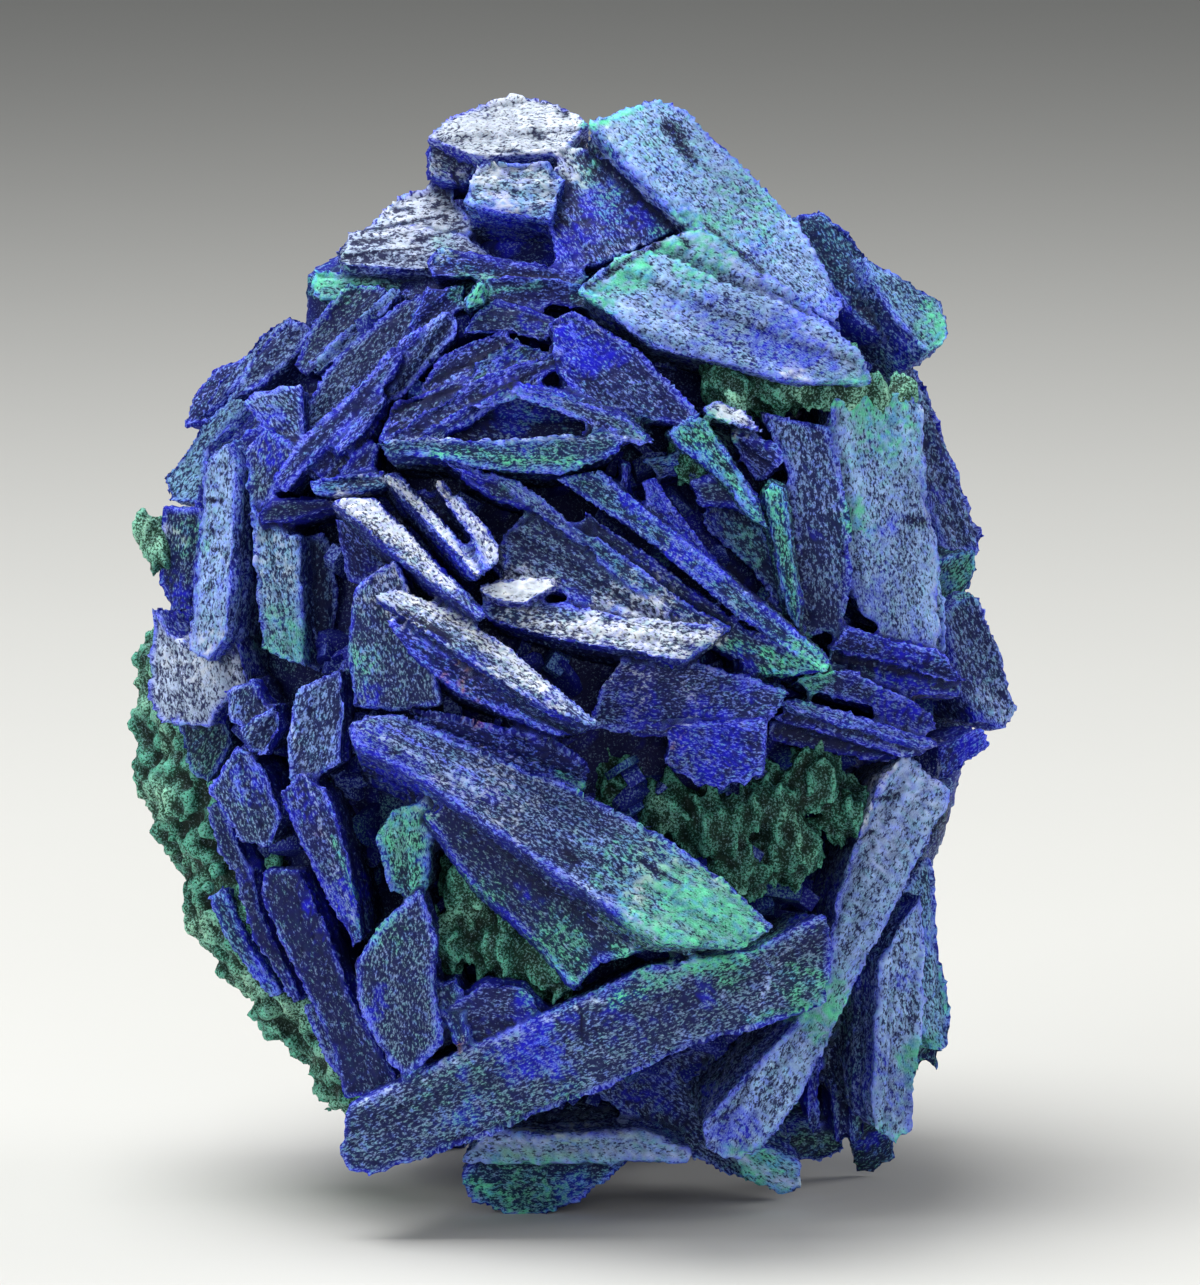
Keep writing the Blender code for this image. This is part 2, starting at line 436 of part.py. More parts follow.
def back_blade(name, middle, directions, chance, collection):
    """One blade of the hidden side: it stands edge outward, with a slanted tip at each end."""
    along, outward, flat = directions
    length = chance.uniform(*BACK_LENGTH_MM)
    depth = chance.uniform(*BACK_DEPTH_MM)
    step = flat * chance.uniform(*BACK_THICKNESS_MM)
    slant = chance.uniform(-BACK_SLANT, BACK_SLANT)
    outline = (
        (-0.50, -1.0), (-0.46, -0.3), (-0.22 + slant, 0.0), (0.22 + slant, 0.0), (0.50, -0.35), (0.46, -1.0),
    )
    corners = [middle + along * length * a + outward * depth * b - step / 2 for a, b in outline]
    prism(name, [from_axes(*corner) for corner in corners], along_axes(*step), collection)


def back_fan(number, chance, collection):
    """A few nearly parallel blades side by side, turned their own way, as azurite grows."""
    height = 1.0 - 2.0 * (number + 0.5) / BACK_FANS
    ring = math.sqrt(1.0 - height * height)
    turn = number * GOLDEN_ANGLE
    outward = Vector((math.cos(turn) * ring, height, math.sin(turn) * ring))
    if outward.z > BACK_LIMIT:
        return
    spin = chance.uniform(0.0, math.pi)
    side = outward.orthogonal().normalized()
    along = side * math.cos(spin) + outward.cross(side) * math.sin(spin)
    flat = outward.cross(along)
    middle_right, middle_up = view_place(CORE_PIXEL, CORE_TOWARD_MM)
    for member in range(FAN_BLADES):
        reach = chance.uniform(*BACK_REACH)
        offset = (member - (FAN_BLADES - 1) / 2) * FAN_STEP_MM
        middle = Vector((
            middle_right + outward.x * BACK_HALF_MM[0] * reach,
            middle_up + outward.y * BACK_HALF_MM[1] * reach,
            CORE_TOWARD_MM + outward.z * BACK_HALF_MM[2] * reach,
        ))
        middle += flat * offset + along * chance.uniform(-BACK_SLIDE_MM, BACK_SLIDE_MM)
        tilted = (outward + flat * offset * FAN_SPREAD).normalized()
        directions = (along, tilted, along.cross(tilted))
        back_blade(f"back_{number:02d}_{member}", middle, directions, chance, collection)


def grow_crystals(collection):
    for group in (CROWN, RIGHT_SIDE, LEFT_FAN, CENTRE, LEFT_SIDE, BOTTOM):
        for name, crystal in group.items():
            prism(name, face_corners(crystal), along_axes(*crystal.root), collection)
    chance = random.Random(BACK_SEED)
    for number in range(BACK_FANS):
        back_fan(number, chance, collection)


def grow_lumps(collection):
    for group, roundness in ((LEFT_RIM_LUMPS, 2), (LEFT_BED_LUMPS, 1), (POCKET_LUMPS, 1)):
        for x, y, toward, radius in group:
            lump("lump", from_view((x, y), toward), radius * MM, roundness, collection)


def floor_block(collection):
    """What lies under the surface that the specimen rests on."""
    mesh = bpy.data.meshes.new("floor_block")
    shape = bmesh.new()
    bmesh.ops.create_cube(shape, size=FLOOR_BLOCK_MM * MM)
    bmesh.ops.translate(shape, verts=shape.verts, vec=(0.0, 0.0, -FLOOR_BLOCK_MM / 2 * MM))
    shape.to_mesh(mesh)
    shape.free()
    return add_object("floor_block", mesh, collection)


def boolean(target, operation, operand):
    """Adds a Boolean with an object or a whole collection."""
    modifier = target.modifiers.new(operation.lower(), "BOOLEAN")
    modifier.operation = operation
    modifier.solver = "EXACT"
    if isinstance(operand, bpy.types.Collection):
        modifier.operand_type = "COLLECTION"
        modifier.collection = operand
    else:
        modifier.object = operand


def linked_faces(seed):
    """Every face that can be reached from one face over shared edges."""
    found = {seed}
    waiting = [seed]
    while waiting:
        face = waiting.pop()
        for edge in face.edges:
            for neighbour in edge.link_faces:
                if neighbour not in found:
                    found.add(neighbour)
                    waiting.append(neighbour)
    return found


def fill_bubbles(mesh):
    """Fills the small pockets that the crystals close off between them: their walls face inward."""
    shape = bmesh.new()
    shape.from_mesh(mesh)
    left = set(shape.faces)
    while left:
        shell = linked_faces(next(iter(left)))
        left -= shell
        volume = sum(face.calc_area() * face.normal.dot(face.calc_center_median()) for face in shell) / 3
        if volume < 0.0:
            bmesh.ops.delete(shape, geom=list(shell), context="FACES")
    shape.to_mesh(mesh)
    shape.free()


def apply_modifiers(target, helpers):
    """Keeps the joined shape as the object's mesh, and clears the shapes that it was joined from."""
    graph = bpy.context.evaluated_depsgraph_get()
    joined = bpy.data.meshes.new_from_object(target.evaluated_get(graph))
    target.modifiers.clear()
    target.data = joined
    for helper in helpers:
        bpy.data.objects.remove(helper, do_unlink=True)


def azurite():
    material = bpy.data.materials.new("azurite")
    material.use_nodes = True
    shader = material.node_tree.nodes["Principled BSDF"]
    shader.inputs["Base Color"].default_value = AZURITE_COLOUR
    shader.inputs["Roughness"].default_value = AZURITE_ROUGHNESS
    shader.inputs["Metallic"].default_value = 0.0
    return material


def build():
    clear_scene()
    scene = bpy.context.scene.collection
    crystals = bpy.data.collections.new("crystals")
    scene.children.link(crystals)
    grow_crystals(crystals)
    grow_lumps(crystals)
    cluster = core(scene)
    block = floor_block(scene)
    boolean(cluster, "UNION", crystals)
    boolean(cluster, "DIFFERENCE", block)
    bpy.context.view_layer.update()
    apply_modifiers(cluster, [*crystals.objects, block])
    fill_bubbles(cluster.data)
    cluster.data.materials.clear()
    cluster.data.materials.append(azurite())


build()
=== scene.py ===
# %% [markdown]
# # An azurite rosette in Blender
#
# The real specimen is a ball of flat, bladed azurite crystals that grew out from one middle, with green
# malachite in the hollows between them. Every face carries a druse: a sugary skin of crystals a fifth of a
# millimetre across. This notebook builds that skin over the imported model, and never moves or resizes it.
#
# The plan: draw the blades again from their outlines, fuse each group into one skin of small quads, push
# that skin in and out where real crystals have steps, chips and grains, and then paint it by what it is.

import math
import random
from collections import namedtuple

import bmesh
import bpy
import numpy as np
from mathutils import Matrix, Vector, noise
from mathutils.bvhtree import BVHTree


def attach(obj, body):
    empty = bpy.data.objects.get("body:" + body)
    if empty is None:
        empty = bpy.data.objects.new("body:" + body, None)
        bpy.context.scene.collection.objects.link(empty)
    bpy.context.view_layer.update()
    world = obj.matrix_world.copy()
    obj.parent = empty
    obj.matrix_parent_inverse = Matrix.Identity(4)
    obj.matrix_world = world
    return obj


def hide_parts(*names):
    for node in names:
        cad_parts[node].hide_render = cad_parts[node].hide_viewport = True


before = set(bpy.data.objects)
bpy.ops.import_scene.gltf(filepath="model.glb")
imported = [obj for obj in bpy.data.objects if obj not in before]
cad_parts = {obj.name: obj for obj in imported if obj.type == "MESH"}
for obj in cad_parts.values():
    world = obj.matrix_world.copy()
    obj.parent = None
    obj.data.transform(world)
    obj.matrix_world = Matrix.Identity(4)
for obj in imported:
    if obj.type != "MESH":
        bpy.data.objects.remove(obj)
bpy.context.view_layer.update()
NODE = "azurite_cluster"

# %% [markdown]
# ## The reference view
#
# The blades are placed by where they show from the front, so the same view has to exist twice: as a way
# from pixels to metres, and as a camera. A long lens far away keeps the two simple. Everything that depends
# on the view is worked out from the four values here.

# %% Set up the view
MM = 0.001
VIEW_SIZE = (1200.0, 1285.0)
VIEW_MIDDLE = (600.0, 642.5)
MM_PER_PIXEL = 50.0 / 1130.0
EYE_DISTANCE_MM = 420.0
LOOK_DOWN = math.radians(8.0)
MIDDLE_MM = Vector((1.12, 1.42, 24.15))

RIGHT = Vector((1.0, 0.0, 0.0))
UP = Vector((0.0, math.sin(LOOK_DOWN), math.cos(LOOK_DOWN)))
TOWARD = Vector((0.0, -math.cos(LOOK_DOWN), math.sin(LOOK_DOWN)))


def from_axes(right, up, toward):
    """A point in metres, from millimetres along the view's three directions."""
    return (MIDDLE_MM + RIGHT * right + UP * up + TOWARD * toward) * MM


def along_axes(right, up, toward):
    """A step in metres, from millimetres along the view's three directions."""
    return (RIGHT * right + UP * up + TOWARD * toward) * MM


def view_place(pixel, toward):
    """Millimetres right and up of the view's middle for what shows at a pixel from that near the eye."""
    scale = MM_PER_PIXEL * (1.0 - toward / EYE_DISTANCE_MM)
    return (pixel[0] - VIEW_MIDDLE[0]) * scale, (VIEW_MIDDLE[1] - pixel[1]) * scale


def from_view(pixel, toward):
    """The point that shows at a pixel, that many millimetres toward the eye."""
    right, up = view_place(pixel, toward)
    return from_axes(right, up, toward)


def to_view(points):
    """The pixels at which points in metres show, and their millimetres toward the eye."""
    offset = points / MM - np.array(MIDDLE_MM)
    toward = offset @ np.array(TOWARD)
    scale = MM_PER_PIXEL * (1.0 - toward / EYE_DISTANCE_MM)
    across = VIEW_MIDDLE[0] + (offset @ np.array(RIGHT)) / scale
    down = VIEW_MIDDLE[1] - (offset @ np.array(UP)) / scale
    return across, down, toward


# %% Place the camera
SENSOR_MM = 36.0


def place_camera():
    """Hangs the camera on the view: straight at its middle, with the lens that fits its height."""
    camera = bpy.data.objects.new("camera", bpy.data.cameras.new("camera"))
    bpy.context.scene.collection.objects.link(camera)
    turn = Matrix((RIGHT, UP, TOWARD)).transposed().to_4x4()
    turn.translation = from_axes(0.0, 0.0, EYE_DISTANCE_MM)
    camera.matrix_world = turn
    camera.data.sensor_width = SENSOR_MM
    camera.data.lens = SENSOR_MM * EYE_DISTANCE_MM / (VIEW_SIZE[1] * MM_PER_PIXEL)
    camera.data.clip_start = 0.01
    camera.data.clip_end = 10.0
    bpy.context.scene.camera = camera
    return camera


camera = place_camera()
print("lens in mm:", round(camera.data.lens, 1))

# %% [markdown]
# ## Floor and light
#
# Druse is thousands of tiny mirrors, so it needs large soft lights to show anything at all. The strongest
# hangs over the specimen: faces that look up catch it and go nearly white, while faces that look at the
# viewer stay dark blue. A weaker panel at the left models the sides, and the world fills the shadows.

# %% Build the stage
FLOOR_HALF_M = 3.0
FLOOR_COLOUR = (0.66, 0.66, 0.63, 1.0)
LIGHTS = (
    # name, watts, side of the square, where it hangs, and where it points, all in metres
    ("key", 2.3, 0.30, (-0.10, 0.00, 0.42), (0.0, 0.0, 0.03)),
    ("left_panel", 1.1, 0.30, (-0.42, -0.34, 0.26), (0.0, 0.0, 0.02)),
    ("right_rim", 0.7, 0.22, (0.40, 0.10, 0.20), (0.0, 0.0, 0.03)),
    ("front_fill", 0.8, 0.40, (0.12, -0.60, 0.20), (0.0, 0.0, 0.02)),
)
SKY_COLOUR = (0.80, 0.82, 0.84, 1.0)
SKY_STRENGTH = 0.16


def build_stage():
    """Lays a wide flat floor where the specimen rests."""
    mesh = bpy.data.meshes.new("floor")
    shape = bmesh.new()
    bmesh.ops.create_grid(shape, x_segments=1, y_segments=1, size=FLOOR_HALF_M)
    shape.to_mesh(mesh)
    shape.free()
    floor = bpy.data.objects.new("floor", mesh)
    bpy.context.scene.collection.objects.link(floor)
    return floor


def hang_light(name, watts, side, place, target):
    """Hangs one square panel and points it."""
    light = bpy.data.objects.new(name, bpy.data.lights.new(name, "AREA"))
    light.data.energy = watts
    light.data.size = side
    light.location = place
    light.rotation_mode = "QUATERNION"
    light.rotation_quaternion = (Vector(place) - Vector(target)).to_track_quat("Z", "Y")
    bpy.context.scene.collection.objects.link(light)


def fill_sky():
    """Gives the world one soft grey."""
    world = bpy.data.worlds.new("studio")
    world.use_nodes = True
    background = world.node_tree.nodes["Background"]
    background.inputs["Color"].default_value = SKY_COLOUR
    background.inputs["Strength"].default_value = SKY_STRENGTH
    bpy.context.scene.world = world


floor = build_stage()
for settings in LIGHTS:
    hang_light(*settings)
fill_sky()
bpy.context.scene.view_settings.view_transform = "Standard"
print("lights:", len(LIGHTS))

# %% [markdown]
# ## The crystals of the front
#
# Each crystal is one flat outline, read from the front, and the way that it runs back into the ball. The
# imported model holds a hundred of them, and the slivers in the gaps between those are added here. What is new
# for all of them is the finish: a word for the colour that the crystal has in its weathered skin, so that a
# look can be changed for all crystals of one kind at once.

# %% Write down the crystals
# A crystal's finish, the millimetres that its middle stands toward the eye, the slope of its face to the
# right and upward, the way from its face to its root in mm, and its outline in view pixels.
Crystal = namedtuple("Crystal", "finish toward lean root outline")

# %% The crown
CROWN = {
    "crown_left": Crystal("white", 4.0, (0.0, -1.1), (0.6, -2.2, -3.0), (
        (424, 136), (452, 112), (512, 91), (562, 101), (590, 120), (560, 152), (482, 158))),
    "crown_left_end": Crystal("grey", 4.3, (0.0, -0.2), (0.3, -0.6, -3.0), (
        (424, 142), (446, 150), (480, 164), (468, 186), (440, 184), (425, 176))),
    "crown_middle": Crystal("frost", 7.0, (0.0, -0.5), (0.3, -2.0, -4.5), (
        (478, 162), (548, 158), (566, 178), (552, 222), (500, 214), (462, 202), (466, 182))),
    "crown_wedge": Crystal("violet", 6.9, (0.1, -0.6), (-0.3, -1.0, -5.0), (
        (562, 150), (585, 146), (640, 180), (690, 226), (640, 246), (598, 266), (556, 262), (546, 205))),
    "crown_right": Crystal("pale", 8.1, (-0.25, -0.55), (-1.2, -1.4, -4.0), (
        (588, 120), (655, 97), (688, 110), (800, 222), (846, 300), (836, 324), (758, 276), (690, 228),
        (636, 176))),
    "shoulder_plate": Crystal("pale", 12.6, (-0.15, -0.35), (-0.8, -1.0, -6.5), (
        (576, 290), (612, 258), (700, 225), (728, 240), (806, 302), (862, 352), (874, 384), (800, 384),
        (730, 366), (652, 346))),
    "step_upper": Crystal("chalk", 4.0, (0.2, -0.8), (1.4, -1.6, -4.0), (
        (362, 228), (398, 192), (446, 188), (464, 206), (470, 236), (420, 240))),
    "step_lower": Crystal("chalk", 5.0, (0.2, -0.7), (1.6, -1.4, -4.0), (
        (330, 252), (346, 228), (400, 222), (466, 232), (500, 256), (440, 272), (334, 266))),
    "step_green": Crystal("mint", 4.2, (0.2, -0.3), (1.9, -1.3, -4.0), (
        (309, 292), (312, 268), (376, 272), (428, 280), (420, 296), (380, 302), (320, 300))),
    "top_rib_a": Crystal("blue", 8.5, (0.0, -0.3), (0.0, -0.3, -5.0), (
        (424, 262), (438, 245), (500, 256), (580, 268), (592, 278), (560, 284), (480, 278), (430, 280))),
    "top_rib_b": Crystal("blue", 10.0, (0.0, -0.2), (0.0, -0.3, -5.0), (
        (458, 304), (474, 282), (500, 273), (562, 276), (604, 292), (590, 312), (540, 306), (480, 306))),
    "top_rib_c": Crystal("slate", 11.3, (0.0, -0.3), (0.2, -0.3, -5.0), (
        (458, 336), (472, 312), (496, 296), (520, 302), (560, 318), (548, 344), (510, 334))),
}

# %% The right side
RIGHT_SIDE = {
    "ear_back": Crystal("teal", 1.5, (-0.3, -0.5), (-3.0, -1.8, -3.0), (
        (790, 216), (820, 208), (850, 228), (872, 258), (908, 330), (900, 348), (860, 320), (820, 270))),
    "ear": Crystal("frost", 2.5, (-0.3, -0.6), (-3.2, -2.4, -3.0), (
        (862, 250), (905, 275), (944, 298), (951, 316), (948, 344), (930, 354), (898, 320), (872, 280))),
    "flank": Crystal("lavender", 0.0, (-0.7, 0.0), (-4.5, 0.0, -3.0), (
        (880, 346), (908, 344), (932, 390), (966, 488), (986, 536), (980, 556), (946, 552), (922, 480),
        (906, 400))),
    "flank_lobe": Crystal("mint", 1.0, (-0.5, 0.2), (-4.5, 0.5, -2.5), (
        (936, 560), (976, 548), (982, 572), (966, 600), (946, 610), (932, 596))),
    "big_plate": Crystal("pale", 11.0, (-0.35, 0.0), (-2.0, 0.3, -6.0), (
        (832, 398), (862, 386), (912, 394), (924, 404), (928, 500), (940, 562), (941, 650), (898, 638),
        (862, 614), (848, 560), (838, 470))),
    "big_plate_rim": Crystal("frost", 9.6, (-0.5, 0.0), (-2.5, 0.0, -5.0), (
        (922, 500), (932, 506), (946, 600), (948, 653), (936, 648), (924, 570))),
    "mid_plate": Crystal("lavender", 12.0, (-0.1, 0.0), (-0.8, 0.2, -6.0), (
        (760, 410), (828, 426), (836, 450), (850, 520), (852, 590), (842, 628), (806, 640), (796, 560),
        (788, 470))),
    "green_finger": Crystal("mint", 13.4, (0.0, 0.0), (-0.6, 0.3, -7.0), (
        (762, 494), (772, 478), (786, 484), (794, 530), (804, 600), (803, 642), (786, 618), (770, 550))),
    "dark_wedge": Crystal("dark", 10.6, (0.0, 0.0), (0.0, 0.3, -5.0), (
        (700, 430), (726, 424), (782, 438), (786, 458), (768, 482), (758, 500), (730, 462))),
    "right_rib_a": Crystal("lavender", 13.4, (-0.4, 0.0), (-0.6, -0.3, -6.0), (
        (778, 700), (800, 697), (932, 738), (942, 747), (922, 749), (860, 730), (788, 710))),
    "right_rib_b": Crystal("violet", 12.4, (-0.4, 0.1), (-0.8, -0.3, -6.0), (
        (788, 683), (802, 672), (850, 668), (932, 708), (942, 730), (928, 734), (860, 706), (802, 690))),
    "right_rib_f": Crystal("violet", 12.8, (-0.4, 0.0), (-0.6, -0.2, -6.0), (
        (770, 715), (788, 713), (918, 749), (928, 757), (904, 758), (850, 742), (780, 724))),
    "right_rib_c": Crystal("slate", 11.3, (-0.4, 0.0), (-0.8, -0.3, -6.0), (
        (822, 662), (846, 650), (900, 658), (964, 676), (962, 698), (900, 694), (850, 676))),
    "right_rib_d": Crystal("dark", 11.2, (-0.3, 0.3), (-0.5, 0.4, -6.0), (
        (768, 722), (820, 728), (900, 752), (904, 762), (866, 762), (800, 750), (766, 740))),
    "right_rib_e": Crystal("blue", 11.8, (-0.4, -0.2), (-0.8, 0.2, -6.0), (
        (826, 650), (846, 624), (900, 640), (948, 652), (972, 682), (954, 686), (900, 666), (848, 656))),
    "right_edge": Crystal("lavender", 3.0, (-0.5, 0.0), (-4.5, 0.0, -4.0), (
        (944, 612), (974, 588), (1000, 636), (1012, 682), (1021, 712), (1006, 732), (980, 722), (958, 690))),
    "right_crumb": Crystal("blue", 4.4, (-0.3, 0.1), (-3.5, 0.5, -4.0), (
        (938, 744), (984, 726), (994, 746), (960, 774), (938, 790))),
}

# %% The fan at the upper left
LEFT_FAN = {
    "fan_outer": Crystal("violet", -2.5, (0.4, -0.3), (4.0, -1.5, -2.5), (
        (180, 426), (190, 392), (214, 366), (250, 352), (246, 376), (206, 420))),
    "fan_a": Crystal("frost", 1.0, (0.5, -0.2), (4.5, -1.0, -3.0), (
        (158, 478), (180, 452), (286, 318), (302, 326), (262, 390), (206, 450), (200, 504), (166, 502))),
    "fan_b": Crystal("lavender", 4.0, (0.4, -0.3), (3.2, -1.6, -4.0), (
        (228, 400), (252, 352), (284, 316), (312, 326), (300, 350), (262, 384))),
    "fan_c": Crystal("slate", 5.5, (0.3, -0.3), (2.8, -1.8, -4.0), (
        (292, 366), (306, 332), (346, 280), (386, 286), (384, 304), (340, 350), (304, 376))),
    "fan_d": Crystal("grey", 8.0, (0.3, -0.2), (2.0, -1.2, -5.0), (
        (300, 434), (306, 402), (334, 358), (398, 302), (418, 290), (422, 318), (384, 368), (344, 424),
        (312, 448))),
    "rib_round": Crystal("lavender", 10.5, (0.1, -0.2), (0.8, -0.8, -6.0), (
        (384, 402), (396, 368), (428, 322), (444, 310), (458, 318), (456, 334), (430, 362), (402, 396))),
    "rib_long": Crystal("violet", 11.2, (0.2, -0.1), (1.2, -1.0, -6.0), (
        (270, 480), (300, 438), (352, 392), (392, 346), (402, 352), (394, 374), (354, 418), (308, 464),
        (282, 492))),
    "rib_low": Crystal("violet", 11.0, (0.2, -0.1), (1.0, -1.0, -6.0), (
        (308, 476), (326, 440), (352, 408), (384, 386), (386, 404), (378, 432), (344, 462), (324, 478))),
    "rib_a": Crystal("dark", 12.6, (0.0, -0.1), (0.6, -0.8, -6.0), (
        (376, 442), (392, 402), (438, 386), (472, 374), (482, 384), (440, 408), (402, 436))),
    "rib_b": Crystal("violet", 12.0, (0.0, -0.1), (0.4, -0.6, -6.0), (
        (418, 388), (440, 356), (468, 340), (506, 328), (514, 342), (472, 372), (430, 392))),
    "rib_c": Crystal("moss", 12.6, (0.0, -0.1), (0.3, -0.6, -6.0), (
        (462, 388), (474, 360), (516, 336), (548, 350), (522, 366), (484, 390))),
    "rib_d": Crystal("violet", 13.6, (0.0, -0.1), (0.3, -0.8, -6.0), (
        (378, 442), (420, 410), (484, 374), (556, 348), (580, 354), (562, 368), (500, 396), (442, 426),
        (404, 442))),
    "rib_flat": Crystal("teal", 12.4, (0.0, 0.0), (0.3, -0.4, -6.0), (
        (308, 482), (340, 474), (386, 470), (392, 488), (342, 498), (314, 494))),
    "tent": Crystal("dark", 13.3, (0.0, 0.1), (0.0, 0.6, -4.0), (
        (436, 440), (474, 408), (514, 384), (567, 412), (612, 432), (640, 446), (560, 454), (480, 452))),
    "fan_c_edge": Crystal("frost", 6.6, (0.3, -0.3), (2.4, -1.5, -4.5), (
        (310, 374), (320, 350), (362, 312), (394, 286), (402, 290), (372, 326), (342, 352), (318, 374))),
    "fan_far": Crystal("lavender", -0.6, (0.4, -0.3), (4.0, -1.5, -2.5), (
        (196, 420), (214, 384), (262, 330), (288, 312), (292, 322), (262, 356), (220, 404))),
    "sliver_a": Crystal("blue", 10.4, (0.2, -0.1), (1.0, -1.0, -6.0), (
        (388, 356), (404, 334), (424, 322), (418, 340), (396, 362))),
    "sliver_b": Crystal("violet", 11.6, (0.2, -0.1), (1.0, -1.0, -6.0), (
        (330, 450), (352, 424), (380, 398), (388, 392), (384, 412), (362, 436), (338, 456))),
    "sliver_c": Crystal("dark", 11.4, (0.2, -0.1), (0.8, -0.8, -6.0), (
        (336, 476), (352, 456), (372, 440), (378, 446), (374, 472))),
    "rib_under": Crystal("slate", 13.9, (0.0, 0.0), (0.2, -0.6, -6.0), (
        (424, 432), (470, 404), (510, 384), (500, 402), (470, 424), (440, 438))),
    "green_knot": Crystal("moss", 11.6, (0.0, 0.0), (0.2, -0.6, -5.0), (
        (462, 300), (480, 276), (490, 284), (484, 304), (466, 312))),
    "top_blue": Crystal("blue", 9.4, (0.0, -0.2), (0.3, -0.8, -5.0), (
        (404, 330), (424, 284), (466, 282), (462, 310), (430, 326))),
    "upper_face": Crystal("violet", 13.6, (-0.1, -0.3), (-0.3, -0.5, -6.0), (
        (548, 322), (572, 310), (608, 326), (644, 354), (700, 414), (698, 428), (650, 420), (596, 404),
        (560, 376))),
    "hood_left": Crystal("lavender", 15.2, (0.0, 0.0), (0.1, 1.0, -6.0), (
        (466, 410), (512, 384), (524, 392), (516, 400), (488, 410))),
    "hood_right": Crystal("lavender", 15.3, (0.0, 0.0), (0.0, 1.0, -6.0), (
        (508, 384), (562, 393), (626, 416), (660, 446), (638, 449), (590, 428), (514, 398))),
    "mid_beam": Crystal("teal", 15.4, (0.0, 0.0), (0.0, -0.9, -6.0), (
        (376, 442), (420, 435), (500, 440), (604, 430), (628, 438), (616, 454), (562, 474), (500, 472),
        (430, 456), (386, 456))),
}

